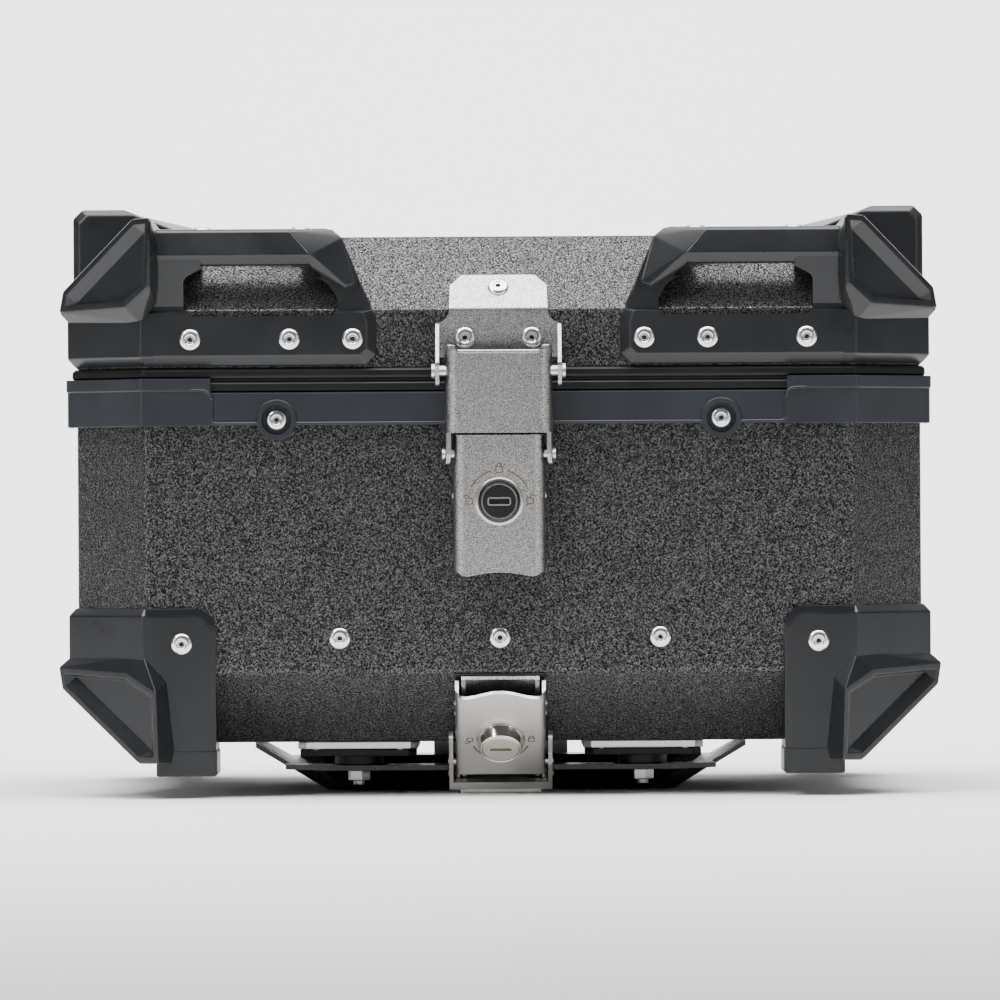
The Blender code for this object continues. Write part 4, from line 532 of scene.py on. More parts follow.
    @staticmethod
    def bead(path: Sequence[Vector], normal: Vector, radius: float, sides: int = 10) -> Mesh:
        """Round bead along a flat path.

        Args:
            path: Points of the path.
            normal: Direction that the path's plane faces.
            radius: Radius of the bead.
            sides: Faces round it.

        Returns:
            The mesh.
        """
        rings = []
        for k, point in enumerate(path):
            along = (path[min(k + 1, len(path) - 1)] - path[max(k - 1, 0)]).normalized()
            across = along.cross(normal).normalized()
            turns = [2 * math.pi * n / sides for n in range(sides)]
            rings.append([point + (across * math.cos(t) + normal * math.sin(t)) * radius for t in turns])
        return Forge.loft(rings)

    @staticmethod
    def join(*builds: Mesh) -> Mesh:
        """One mesh that holds several closed ones."""
        first, *rest = builds
        for build in rest:
            mesh = bpy.data.meshes.new("joined")
            build.to_mesh(mesh)
            build.free()
            first.from_mesh(mesh)
            bpy.data.meshes.remove(mesh)
        return first

    @staticmethod
    def soften(build: Mesh, width: float, segments: int = 2, angle: float = 24.0,
               pick: Callable[[bmesh.types.BMEdge], bool] | None = None) -> Mesh:
        """Round the sharp edges of a mesh and mark the rounded faces for wear.

        Args:
            build: Mesh to work on.
            width: Width of the rounding.
            segments: Faces across the rounding.
            angle: Smallest fold, in degrees, that is rounded.
            pick: Optional test that an edge has to pass too.

        Returns:
            The same mesh.
        """
        layer = build.faces.layers.float.get(WEAR) or build.faces.layers.float.new(WEAR)
        build.normal_update()
        sharp = [edge for edge in build.edges if len(edge.link_faces) == 2
                 and edge.calc_face_angle(0) > math.radians(angle) and (pick is None or pick(edge))]
        made = bmesh.ops.bevel(build, geom=sharp, offset=width, offset_type="OFFSET", segments=segments,
                               profile=0.5, affect="EDGES", clamp_overlap=True)
        for face in made["faces"]:
            face[layer] = 1.0
        return build

    @staticmethod
    def is_cut_rim(edge: bmesh.types.BMEdge) -> bool:
        """Whether an edge runs between a face that a tool left and one that was there before."""
        return len({face.material_index for face in edge.link_faces}) == 2

    @staticmethod
    def is_cut(edge: bmesh.types.BMEdge) -> bool:
        """Whether an edge touches a face that a tool left."""
        return any(face.material_index for face in edge.link_faces)

    @staticmethod
    def _holder(build: Mesh, mark: int) -> bpy.types.Object:
        """Temporary object of a mesh whose faces carry a mark."""
        for face in build.faces:
            face.material_index = mark
        mesh = bpy.data.meshes.new("tool")
        build.to_mesh(mesh)
        build.free()
        for _ in range(2):
            mesh.materials.append(None)
        holder = bpy.data.objects.new("tool", mesh)
        bpy.context.scene.collection.objects.link(holder)
        return holder

    @staticmethod
    def combine(base: Mesh, fuse: Fuse, *tools: Mesh) -> Mesh:
        """Combine solids exactly; faces that come from a tool are marked as such.

        Args:
            base: Mesh to work on.
            fuse: What the tools do to it.
            tools: Closed meshes.

        Returns:
            A new mesh.
        """
        holders = [Forge._holder(base, 0)] + [Forge._holder(tool, 1) for tool in tools]
        for tool in holders[1:]:
            step = holders[0].modifiers.new("combine", "BOOLEAN")
            step.operation = fuse.value
            step.solver = "EXACT"
            step.material_mode = "INDEX"
            step.object = tool
        depsgraph = bpy.context.evaluated_depsgraph_get()
        mesh = bpy.data.meshes.new_from_object(holders[0].evaluated_get(depsgraph))
        result = bmesh.new()
        result.from_mesh(mesh)
        bpy.data.meshes.remove(mesh)
        for holder in holders:
            spare = holder.data
            bpy.data.objects.remove(holder)
            bpy.data.meshes.remove(spare)
        bmesh.ops.remove_doubles(result, verts=result.verts, dist=0.002 * MM)
        bmesh.ops.dissolve_degenerate(result, edges=result.edges, dist=0.002 * MM)
        return result

    @staticmethod
    def publish(build: Mesh, name: str, body: Body, finish: Finish, nodes: Iterable[str] = (),
                flat: bool = False) -> bpy.types.Object:
        """Make a finished piece of a mesh.

        Args:
            build: Its mesh, in the row frame.
            name: Name of the piece.
            body: CAD body that it rides on.
            finish: Its finish.
            nodes: CAD nodes that it stands for.
            flat: Whether its faces stay flat shaded.

        Returns:
            The piece.
        """
        mesh = bpy.data.meshes.new(name)
        build.to_mesh(mesh)
        build.free()
        return Forge.adopt(mesh, name, body, finish, nodes, flat)

    @staticmethod
    def adopt(mesh: bpy.types.Mesh, name: str, body: Body, finish: Finish, nodes: Iterable[str] = (),
              flat: bool = False) -> bpy.types.Object:
        """Make a finished piece of mesh data; the arguments are those of publish."""
        mesh.materials.clear()
        mesh.materials.append(finish.material())
        mesh.polygons.foreach_set("material_index", [0] * len(mesh.polygons))
        mesh.polygons.foreach_set("use_smooth", [not flat] * len(mesh.polygons))
        piece = bpy.data.objects.new(name, mesh)
        bpy.context.scene.collection.objects.link(piece)
        if not flat:
            mesh.set_sharp_from_angle(angle=math.radians(Forge.SHARP))
            even = piece.modifiers.new("even_shading", "WEIGHTED_NORMAL")
            even.weight = Forge.EVEN_WEIGHT
            even.keep_sharp = True
        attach(piece, body.value)
        if nodes:
            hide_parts(*nodes)
        LOG.info("%s rides %s: %d faces", name, body.value, len(mesh.polygons))
        return piece

    @staticmethod
    def dress(node: str, ending: str, body: Body, finish: Finish, width: float, segments: int = 2,
              angle: float = 24.0, pick: Callable[[bmesh.types.BMEdge], bool] | None = None) -> None:
        """Publish a CAD piece with its edges rounded.

        Args:
            node: Name of the CAD node.
            ending: What its name ends with as a finished piece.
            body: CAD body that it rides on.
            finish: Its finish.
            width: Width of the rounding.
            segments: Faces across the rounding.
            angle: Smallest fold, in degrees, that is rounded.
            pick: Optional test that an edge has to pass too.
        """
        build = Forge.soften(Forge.copy(node), width, segments, angle, pick)
        Forge.publish(build, f"{node}_{ending}", body, finish, (node,))


class Path:
    """Flat outlines that several pieces draw with."""

    @staticmethod
    def arc(centre: Point, radius: float, start: float, end: float, steps: int = 8) -> list[Point]:
        """Points on an arc between two angles in degrees."""
        angles = [math.radians(start + (end - start) * k / steps) for k in range(steps + 1)]
        return [(centre[0] + radius * math.cos(t), centre[1] + radius * math.sin(t)) for t in angles]

    @staticmethod
    def rounded(corners: Sequence[tuple[float, float, float]], steps: int = 5) -> list[Point]:
        """Closed outline with rounded corners.

        Args:
            corners: Points of (p, q, radius), going round once.
            steps: Faces round each corner.

        Returns:
            The points of the outline.
        """
        outline = []
        count = len(corners)
        for k, (p, q, radius) in enumerate(corners):
            here = Vector((p, q))
            back = (Vector(corners[k - 1][:2]) - here).normalized()
            ahead = (Vector(corners[(k + 1) % count][:2]) - here).normalized()
            half = back.angle(ahead) / 2
            reach = radius / math.tan(half)
            start, end = here + back * reach, here + ahead * reach
            centre = here + (back + ahead).normalized() * (radius / math.sin(half))
            if radius == 0:
                outline.append((p, q))
                continue
            first, last = (start - centre).normalized(), (end - centre).normalized()
            for n in range(steps + 1):
                outline.append(tuple(centre + first.slerp(last, n / steps) * radius))
        return outline

    @staticmethod
    def panel(half: float, low: float, high: float, corner: float = 0.0, steps: int = 3) -> list[Point]:
        """Rectangle about the middle line.

        Args:
            half: Half its width.
            low: Its lower edge.
            high: Its upper edge.
            corner: Radius of its corners.
            steps: Faces round each corner.

        Returns:
            The points of the outline.
        """
        return Path.rounded(((-half, low, corner), (half, low, corner), (half, high, corner),
                             (-half, high, corner)), steps)

    @staticmethod
    def inset(outline: Sequence[Point], draws: Sequence[float | None]) -> list[Point]:
        """Convex outline with each side drawn in by its own distance.

        Args:
            outline: Points going round once.
            draws: Distance for the side that starts at each point, or None where it shrinks to a point.

        Returns:
            The points of the smaller outline, as many as before.
        """
        points = [Vector(point) for point in outline]
        middle = sum(points, Vector((0, 0))) / len(points)
        lines = []
        for k, (point, draw) in enumerate(zip(points, draws)):
            along = (points[(k + 1) % len(points)] - point).normalized()
            inward = Vector((-along.y, along.x))
            if inward.dot(middle - point) < 0:
                inward = -inward
            lines.append(None if draw is None else (point + inward * draw, along))
        corners = []
        for k, line in enumerate(lines):
            base, along = line or lines[(k + 1) % len(lines)]
            before, run = lines[k - 1] or lines[k - 2]
            gap = base - before
            cross = run.x * along.y - run.y * along.x
            corners.append(tuple(before + run * ((gap.x * along.y - gap.y * along.x) / cross)))
        return corners

    @staticmethod
    def channel(half: float, depth: float, sheet: float, bend: float, steps: int = 8) -> list[Point]:
        """U section of bent sheet as (across, back) points, its face at nought."""
        inner = bend - sheet
        left, right = (-half + bend, bend), (half - bend, bend)
        outline = [(-half, depth)]
        outline += Path.arc(left, bend, 180, 270, steps) + Path.arc(right, bend, 270, 360, steps)
        outline += [(half, depth), (half - sheet, depth)]
        outline += Path.arc(right, inner, 360, 270, steps) + Path.arc(left, inner, 270, 180, steps)
        outline.append((-half + sheet, depth))
        return outline


class RivetField:
    """Rivets or pin heads set by Geometry Nodes on points that know which way they face."""

    SEED: ClassVar[int] = 7
    BLIND: ClassVar[tuple[Point, ...]] = (
        (0.0, 0.1), (1.15, 0.1), (1.2, 1.15), (1.35, 1.3), (2.2, 1.32), (2.45, 1.45), (2.65, 1.62),
        (3.1, 1.66), (3.9, 1.5), (4.5, 1.2), (4.95, 0.85), (5.2, 0.45), (5.25, 0.0), (2.4, 0.0), (2.4, -0.3),
        (0.0, -0.3))
    MANDREL: ClassVar[tuple[Point, ...]] = (
        (0.0, 0.45), (0.5, 0.42), (0.62, 0.3), (1.13, 0.28), (1.13, -0.2), (0.0, -0.2))
    DOME: ClassVar[tuple[Point, ...]] = (
        (0.0, 2.0), (1.4, 1.9), (2.7, 1.5), (3.6, 0.85), (4.0, 0.2), (4.0, -0.3), (0.0, -0.3))

    def __init__(self, label: str, profile: Sequence[Point], finish: Finish) -> None:
        """Start with no rivets.

        Args:
            label: Start of the pieces' names.
            profile: Half section of a head as (radius, height) points in millimetres.
            finish: Finish of the heads.
        """
        self.label = label
        self.profile = profile
        self.finish = finish
        self.seats: dict[Body, list[tuple[Vector, Vector, float]]] = {}
        self.nodes: dict[Body, list[str]] = {}

    def add(self, body: Body, seat: Vector, axis: Vector, size: float = 1.0, node: str | None = None) -> None:
        """Ask for a rivet.

        Args:
            body: CAD body that it rides on.
            seat: Point under the middle of its head.
            axis: Direction its head faces.
            size: Size against the common rivet.
            node: CAD rivet that it stands for.
        """
        self.seats.setdefault(body, []).append((Vector(seat), Vector(axis).normalized(), size))
        if node:
            self.nodes.setdefault(body, []).append(node)

    def head(self) -> bpy.types.Object:
        """Template of one head, turned from its half section."""
        build = Forge.turned([(r * MM, h * MM) for r, h in self.profile], Vector(), UP, 28)
        mesh = bpy.data.meshes.new(f"{self.label}_head")
        build.to_mesh(mesh)
        build.free()
        template = bpy.data.objects.new(f"{self.label}_head", mesh)
        bpy.context.scene.collection.objects.link(template)
        return template

    @staticmethod
    def tree() -> bpy.types.NodeTree:
        """Geometry tree that sets a head on each point, turned to its axis and rolled at random."""
        known = bpy.data.node_groups.get("rivet_setter")
        if known:
            return known
        tree = bpy.data.node_groups.new("rivet_setter", "GeometryNodeTree")
        face = tree.interface
        face.new_socket("Geometry", in_out="INPUT", socket_type="NodeSocketGeometry")
        face.new_socket("Head", in_out="INPUT", socket_type="NodeSocketObject")
        face.new_socket("Seed", in_out="INPUT", socket_type="NodeSocketInt")
        face.new_socket("Finish", in_out="INPUT", socket_type="NodeSocketMaterial")
        face.new_socket("Geometry", in_out="OUTPUT", socket_type="NodeSocketGeometry")
        wiring = Wiring(tree)
        start, end = wiring.add("NodeGroupInput"), wiring.add("NodeGroupOutput")
        head = wiring.add("GeometryNodeObjectInfo", Object=start.outputs["Head"])
        axis = wiring.add("GeometryNodeInputNamedAttribute", {"data_type": "FLOAT_VECTOR"}, Name="axis")
        size = wiring.add("GeometryNodeInputNamedAttribute", {"data_type": "FLOAT"}, Name="size")
        align = wiring.add("FunctionNodeAlignRotationToVector", {"axis": "Z"},
                           Vector=axis.outputs["Attribute"])
        spin = wiring.add("FunctionNodeRandomValue", {"data_type": "FLOAT"}, Seed=start.outputs["Seed"])
        wiring.feed(spin.inputs[3], 2 * math.pi)
        roll = wiring.add("ShaderNodeCombineXYZ", Z=spin.outputs[1])
        rolled = wiring.add("FunctionNodeRotateRotation", {"rotation_space": "LOCAL"})
        wiring.feed(rolled.inputs["Rotation"], align.outputs["Rotation"])
        wiring.feed(rolled.inputs["Rotate By"], roll.outputs["Vector"])
        placed = wiring.add("GeometryNodeInstanceOnPoints", Points=start.outputs["Geometry"],
                            Instance=head.outputs["Geometry"], Rotation=rolled.outputs["Rotation"],
                            # The mandrels' dark colour is painted shade in the rivet holes.
                            Scale=size.outputs["Attribute"])
        real = wiring.add("GeometryNodeRealizeInstances", Geometry=placed.outputs["Instances"])
        coated = wiring.add("GeometryNodeSetMaterial", Geometry=real.outputs["Geometry"],
                            Material=start.outputs["Finish"])
        wiring.feed(end.inputs["Geometry"], coated.outputs["Geometry"])
        return tree

    def build(self) -> None:
        """Set all heads, one piece for each body."""
        head, tree = self.head(), self.tree()
        sockets = {item.name: item.identifier for item in tree.interface.items_tree if item.in_out == "INPUT"}
        for body, seats in self.seats.items():
            points = bpy.data.meshes.new("rivet_points")
            points.from_pydata([seat for seat, _, _ in seats], [], [])
            points.attributes.new("axis", "FLOAT_VECTOR", "POINT")
            points.attributes.new("size", "FLOAT", "POINT")
            for k, (_, axis, size) in enumerate(seats):
                points.attributes["axis"].data[k].vector = axis
                points.attributes["size"].data[k].value = size
            holder = bpy.data.objects.new("rivet_holder", points)
            bpy.context.scene.collection.objects.link(holder)
            setter = holder.modifiers.new("rivets", "NODES")
            setter.node_group = tree
            setter[sockets["Head"]] = head
            setter[sockets["Seed"]] = self.SEED
            setter[sockets["Finish"]] = self.finish.material()
            depsgraph = bpy.context.evaluated_depsgraph_get()
            mesh = bpy.data.meshes.new_from_object(holder.evaluated_get(depsgraph))
            holder.modifiers.remove(setter)
            bpy.data.objects.remove(holder)
            Forge.adopt(mesh, f"{self.label}_{body.value}", body, self.finish, self.nodes.get(body, ()))
        bpy.data.objects.remove(head)


@dataclass(frozen=True)
class CaseForm:
    """Main form of the body and the lid, which the other pieces sit on."""

    half_w: float
    half_d: float
    body_low: float
    body_high: float
    lid_low: float
    lid_high: float
    corner_cut: float = 35 * MM
    small_cut: float = 12 * MM
    body_rise: float = 35.1 * MM
    body_slope: Point = (35 * MM, 40 * MM)
    lid_wall: float = 27.5 * MM
    lid_slope: Point = (37.4 * MM, 33 * MM)
    gap: float = 0.3 * MM

    @classmethod
    def measure(cls) -> "CaseForm":
        """Form of the case as the CAD shells give it."""
        low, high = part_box("body_shell")
        lid_low, lid_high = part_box("lid_shell")
        return cls(high.x, high.y, low.z, high.z, lid_low.z, lid_high.z)

    @property
    def body_crease(self) -> float:
        """Height of the fold over the body's lower slopes."""
        return self.body_low + self.body_rise

    @property
    def lid_crease(self) -> float:
        """Height of the fold under the lid's upper slopes."""
        return self.lid_low + self.lid_wall

    @property
    def corner_sum(self) -> float:
        """Sum of both distances out from the middle on the cut corner."""
        return self.half_w + self.half_d - self.corner_cut

    @staticmethod
    def octagon(half_x: float, half_y: float, corner: float, z: float) -> list[Vector]:
        """Rectangle with cut corners at a height, from the front left, going round to the right."""
        quarter = ((half_x - corner, half_y), (half_x, half_y - corner))
        points = [(-quarter[0][0], -half_y), (quarter[0][0], -half_y), (half_x, -quarter[1][1]), quarter[1],
                  quarter[0], (-quarter[0][0], half_y), (-half_x, quarter[1][1]), (-half_x, -quarter[1][1])]
        return [Vector((x, y, z)) for x, y in points]

    def outline(self, grow: float, z: float) -> list[Vector]:
        """Plan of the walls, grown outwards by a distance."""
        return self.octagon(self.half_w + grow, self.half_d + grow, self.cut_of(grow), z)

    def cut_of(self, grow: float) -> float:
        """Size of the corner's cut where the walls are grown outwards by a distance."""
        return self.corner_cut + grow * (2 - math.sqrt(2))

    def body_block(self) -> Mesh:
        """Body as a full block, a fit larger than the shell, for cutting seats."""
        side, front = self.body_slope
        floor = self.octagon(self.half_w - side + self.gap, self.half_d - front + self.gap, self.small_cut,
                             self.body_low - self.gap)
        walls = [self.outline(self.gap, z) for z in (self.body_crease, self.lid_low)]
        return Forge.loft([floor, *walls])

    def lid_block(self) -> Mesh:
        """Lid as a full block, a fit larger than the shell, for cutting seats."""
        side, front = self.lid_slope
        roof = self.octagon(self.half_w - side + self.gap, self.half_d - front + self.gap, self.small_cut,
                            self.lid_high + self.gap)
        walls = [self.outline(self.gap, z) for z in (self.body_high, self.lid_crease)]
        return Forge.loft([*walls, roof])

    def on_front(self, x: float, out: float, z: float) -> Vector:
        """Point at a distance out from the front wall."""
        return Vector((x, -self.half_d - out, z))

    def facing(self, x: float, z: float, out: float) -> Vector:
        """Point of an outline that is seen from the front."""
        return self.on_front(x, out, z)

    def sideways(self, out: float, z: float, x: float) -> Vector:
        """Point of an outline that is seen from the side."""
        return self.on_front(x, out, z)

    @property
    def slope_out(self) -> Vector:
        """Direction out of the body's lower front slope."""
        return Vector((0, -self.body_rise, -self.body_slope[1])).normalized()

    def on_slope(self, x: float, down: float, out: float) -> Vector:
        """Point on the body's lower front slope."""
        run = Vector((0, self.body_slope[1], -self.body_rise)).normalized()
        return Vector((x, -self.half_d, self.body_crease)) + run * down + self.slope_out * out

    @property
    def lid_slope_out(self) -> Vector:
        """Direction out of the lid's front slope."""
        return Vector((0, self.lid_crease - self.lid_high, self.lid_slope[1])).normalized()

    def on_lid_slope(self, x: float, up: float, out: float) -> Vector:
        """Point on the lid's front slope."""
        run = Vector((0, self.lid_slope[1], self.lid_high - self.lid_crease)).normalized()
        return Vector((x, -self.half_d, self.lid_crease)) + run * up + self.lid_slope_out * out


FORM = CaseForm.measure()


@dataclass(frozen=True)
class Corner:
    """One corner of the case: a runs out from the middle along its width, b along its depth."""

    side: int
    end: int

    def at(self, a: float, b: float, z: float) -> Vector:
        """Point of the corner in the row frame."""
        return Vector((self.side * a, self.end * b, z))

    def skirt(self, length: float, levels: Sequence[Point], start_in: float = 7 * MM) -> Mesh:
        """Guard wall round the corner and along the case side.

        Args:
            length: How far it runs along the side from the front.
            levels: Points of (height, thickness).
            start_in: How far it laps onto the front.

        Returns:
            The mesh.
        """
        bury = 45 * MM
        rings = []
        for z, grow in levels:
            cut = FORM.cut_of(grow)
            wide, deep = FORM.half_w + grow, FORM.half_d + grow
            start, back, inside = wide - cut - start_in, FORM.half_d - length, FORM.half_w - bury
            outline = ((start, deep), (wide - cut, deep), (wide, deep - cut), (wide, back), (inside, back),
                       (inside, FORM.half_d - bury), (start, FORM.half_d - bury))
            rings.append([self.at(a, b, z) for a, b in outline])
        return Forge.loft(rings)


@dataclass
class Shells:
    """Folded body and lid with their rounded folds, and the mat on the floor."""

    fold: float = 1.6 * MM
    mat_edge: float = 1.0 * MM
    SHORTEST: ClassVar[float] = 8 * MM
    STEEPEST: ClassVar[float] = 80.0

    def build(self) -> None:
        """Dress both shells and the mat."""
        for node, body in (("body_shell", Body.CASE), ("lid_shell", Body.LID)):
            Forge.dress(node, "coat", body, HAMMER, self.fold, 4, 20, self.is_fold)
        Forge.dress("floor_mat", "foam", Body.CASE, FOAM, self.mat_edge)

    @classmethod
    def is_fold(cls, edge: bmesh.types.BMEdge) -> bool:
        """Whether an edge is a long fold of the sheet and not a drilled hole or the mouth's lip."""
        return edge.calc_length() > cls.SHORTEST and abs(edge.calc_face_angle(0)) < math.radians(cls.STEEPEST)


@dataclass
class Mouth:
    """Rim frame with its corner caps, beads and rivet bosses, and the seal.

    Sections are (out, rise) in millimetres: out past the walls, and rise from the body's top edge.
    """

    edge: float = 0.7 * MM
    corner: float = 3.6 * MM
    section: tuple[Point, ...] = ((0.3, -13.9), (4.1, -13.9), (4.1, 2.3), (-4.3, 2.3), (-4.3, -6.0),
                                  (-2.3, -6.0), (-2.3, 0.3), (0.3, 0.3))
    cap: tuple[Point, ...] = ((4.7, -14.2), (4.7, 3.1), (5.3, 3.4), (5.3, 9.2))
    cap_inner: float = 2.8 * MM
    cap_ends: Point = (67.5 * MM, 64.0 * MM)
    lips: tuple[Point, ...] = ((-4.0, 2.7), (1.9, 2.7), (2.5, 3.4), (2.5, 6.4), (1.7, 7.4), (0.5, 7.8),
                               (0.5, 8.6), (1.8, 9.3), (2.4, 10.4), (2.3, 13.0), (1.0, 14.2), (-4.0, 14.2))
    lip_edge: float = 0.35 * MM
    boss: tuple[Point, ...] = ((0.0, -3.0), (9.8, -3.0), (9.8, 0.7), (9.6, 0.9), (0.0, 0.9))
    boss_recess: tuple[Point, ...] = ((0.0, -2.5), (7.1, -2.5), (7.6, 4.3), (0.0, 4.3))
    arch: float = 9.3 * MM
    bead: float = 0.9 * MM
    bead_up: float = 0.9 * MM
    cap_end: float = 141.0 * MM
    cap_bend: float = 5.0 * MM
    cap_line: float = 16.4 * MM
    cap_out: float = 0.6 * MM
    foot_bend: float = 2.5 * MM
    hasp_half: float = 20.0 * MM
    drop: float = 13.9 * MM
    out: float = 4.1 * MM

    def build(self) -> None:
        """Make the rim frame and the seal."""
        rim = Forge.soften(self.hoop(self.section), self.edge, 2)
        bosses, recesses = [], []
        for _, side in SIDES:
            low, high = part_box(f"rim_rivet_{side}")
            middle = FORM.on_front((low.x + high.x) / 2, self.out, (low.z + high.z) / 2)
            for profile, kept in ((self.boss, bosses), (self.boss_recess, recesses)):
                kept.append(Forge.turned([(r * MM, h * MM) for r, h in profile], middle, FRONT, 36))
        caps = [self.corner_cap(Corner(side, end)) for side, _ in SIDES for end, _ in ENDS]
        rim = Forge.combine(Forge.combine(rim, Fuse.JOIN, *caps, *bosses), Fuse.CUT, *recesses)
        Forge.publish(rim, "rim_frame_moulding", Body.CASE, RIM_ABS, ("rim_frame",))
        seal = Forge.soften(self.hoop(self.lips), self.lip_edge, 2, 16)
        Forge.publish(seal, "lid_seal_rubber", Body.CASE, RUBBER, ("lid_seal",))
        Forge.publish(self.beads(), "rim_beads", Body.CASE, RIM_ABS)

    def hoop(self, section: Sequence[Point]) -> Mesh:
        """Section drawn round the case, with rounded corners."""
        rings = []
        for grow, rise in section:
            z = FORM.body_high + rise * MM
            plan = Path.rounded([(point.x, point.y, self.corner) for point in FORM.outline(grow * MM, z)], 6)
            rings.append([Vector((x, y, z)) for x, y in plan])
        return Forge.loft(rings, True)

    def corner_cap(self, corner: Corner) -> Mesh:
        """Taller band round one corner, with a lip along its top."""
        rings = []
        for grow, rise in self.cap:
            run = list(reversed(self.run(self.cap_inner))) + self.run(grow * MM)
            rings.append([corner.at(a, b, FORM.body_high + rise * MM) for a, b in run])
        return Forge.soften(Forge.loft(rings), self.edge, 2, 30)

    def run(self, grow: float) -> list[Point]:
        """Line of a corner cap in plan, from its end on the front round to its end on the side."""
        cut = FORM.cut_of(grow)
        wide, deep = FORM.half_w + grow, FORM.half_d + grow
        front, side = self.cap_ends
        return Path.rounded(((FORM.half_w - front, deep, 0.0), (wide - cut, deep, self.corner),
                             (wide, deep - cut, self.corner), (wide, FORM.half_d - side, 0.0)), 6)

    def beads(self) -> Mesh:
        """Raised lines along the rim's lower edge, up round each boss and round each corner cap's end."""
        boss_low, boss_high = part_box("rim_rivet_right")
        boss = (boss_low + boss_high) / 2
        line = FORM.body_high - self.drop + self.bead_up
        turn = math.degrees(math.asin((line - boss.z) / self.arch))
        foot = self.foot_bend
        lip = line + self.cap_line
        cap = [(self.cap_end + self.cap_bend * 2, lip)]
        cap += Path.arc((self.cap_end + self.cap_bend, lip - self.cap_bend), self.cap_bend, 90, 180)
        cap += Path.arc((self.cap_end - foot, line + foot), foot, 0, -90)
        arch = Path.arc((boss.x, boss.z), self.arch, turn, 180 - turn, 20)
        arch = [(boss.x + self.arch + foot, line), *arch, (boss.x - self.arch - foot, line),
                (self.hasp_half, line)]
        lines = []
        for side, _ in SIDES:
            points = [FORM.on_front(side * x, self.out + (self.cap_out if x > self.cap_end else 0), z)
                      for x, z in cap + arch]
            lines.append(Forge.bead(points, FRONT, self.bead))
        return Forge.join(*lines)


@dataclass(frozen=True)
class Wing:
    """Three-cornered wing that stands out at a guard's corner, with a pocket in its face.

    Outlines are (out, rise) in millimetres: out past the case side, and rise from the wing's flat edge. The
    tail's points are (out, depth, rise), with depth in from the case's front or rear.
    """

    face: tuple[Point, ...]
    front: tuple[Point, ...]
    skin: tuple[Point, ...] = ((2.5, -7.0), (-33.0, -7.5), (0.0, 12.0), (-24.0, 36.0))
    lip: tuple[Point, ...] = ()
    lip_back: float = 2.0 * MM
    plane_out: float = 12 * MM
    skin_out: float = 4.4 * MM
    frame: float = 3.1
    strip: float = 7.2
    slant: float = 0.9
    depth: float = 3.0 * MM
    edge: float = 0.8 * MM
    pocket_edge: float = 0.4 * MM
    front_out: float = 4.2 * MM
    tail: tuple[tuple[float, float, float], ...] = ((8.0, 42.0, 0.5), (6.3, 42.0, 9.5), (4.0, 54.0, -6.0),
                                                    (4.0, 54.0, 11.0))
    diagonal: int = 4

    def spot(self, corner: Corner, z_edge: float, up: int, point: Point, plane: float) -> Vector:
        """Point of an outline on a plane across the corner."""
        a = FORM.half_w + point[0] * MM
        return corner.at(a, plane - a, z_edge + up * point[1] * MM)

    def shell(self, corner: Corner, z_edge: float, up: int, more: Iterable[Vector] = ()) -> Mesh:
        """Wing with rounded edges and its pocket.

        Args:
            corner: Corner that it stands on.
            z_edge: Height of its flat edge.
            up: Whether its rise runs up or down.
            more: Further points that its body takes in.

        Returns:
            The mesh.
        """
        plane = FORM.corner_sum + self.plane_out
        points = [self.spot(corner, z_edge, up, point, plane) for point in self.face]
        skin_plane = FORM.corner_sum + self.skin_out
        points += [self.spot(corner, z_edge, up, point, skin_plane) for point in self.skin]
        points += [self.spot(corner, z_edge, up, point, plane - self.lip_back) for point in self.lip]
        for out, rise in self.front:
            points.append(corner.at(FORM.half_w + out * MM, FORM.half_d + self.front_out,
                                    z_edge + up * rise * MM))
        for out, depth, rise in self.tail:
            points.append(corner.at(FORM.half_w + out * MM, FORM.half_d - depth * MM,
                                    z_edge + up * rise * MM))
        wing = Forge.soften(Forge.hull([*points, *more]), self.edge, 2, 8)
        wing = Forge.combine(wing, Fuse.CUT, self.pocket(corner, z_edge, up, plane))
        return Forge.soften(wing, self.pocket_edge, 2, 10, Forge.is_cut)

    def pocket(self, corner: Corner, z_edge: float, up: int, plane: float) -> Mesh:
        """Cutter of the pocket: its wall is steep all round and a broad slope along the diagonal."""
        flat = [(out * math.sqrt(2), rise) for out, rise in self.face]
        mouth = Path.inset(flat, [self.frame] * len(flat))
        draws: list[float | None] = [self.slant] * len(flat)
        draws[self.diagonal] = self.strip
        draws[self.diagonal - 1] = draws[self.diagonal + 1] = None
        floor = Path.inset(mouth, draws)
        past = [tuple(Vector(inner).lerp(Vector(outer), 2.0)) for inner, outer in zip(floor, mouth)]
        deep = self.depth * math.sqrt(2)
        rings = []
        for outline, level in ((floor, plane - deep), (past, plane + deep)):
            rings.append([self.spot(corner, z_edge, up, (u / math.sqrt(2), v), level) for u, v in outline])
        return Forge.loft(rings)


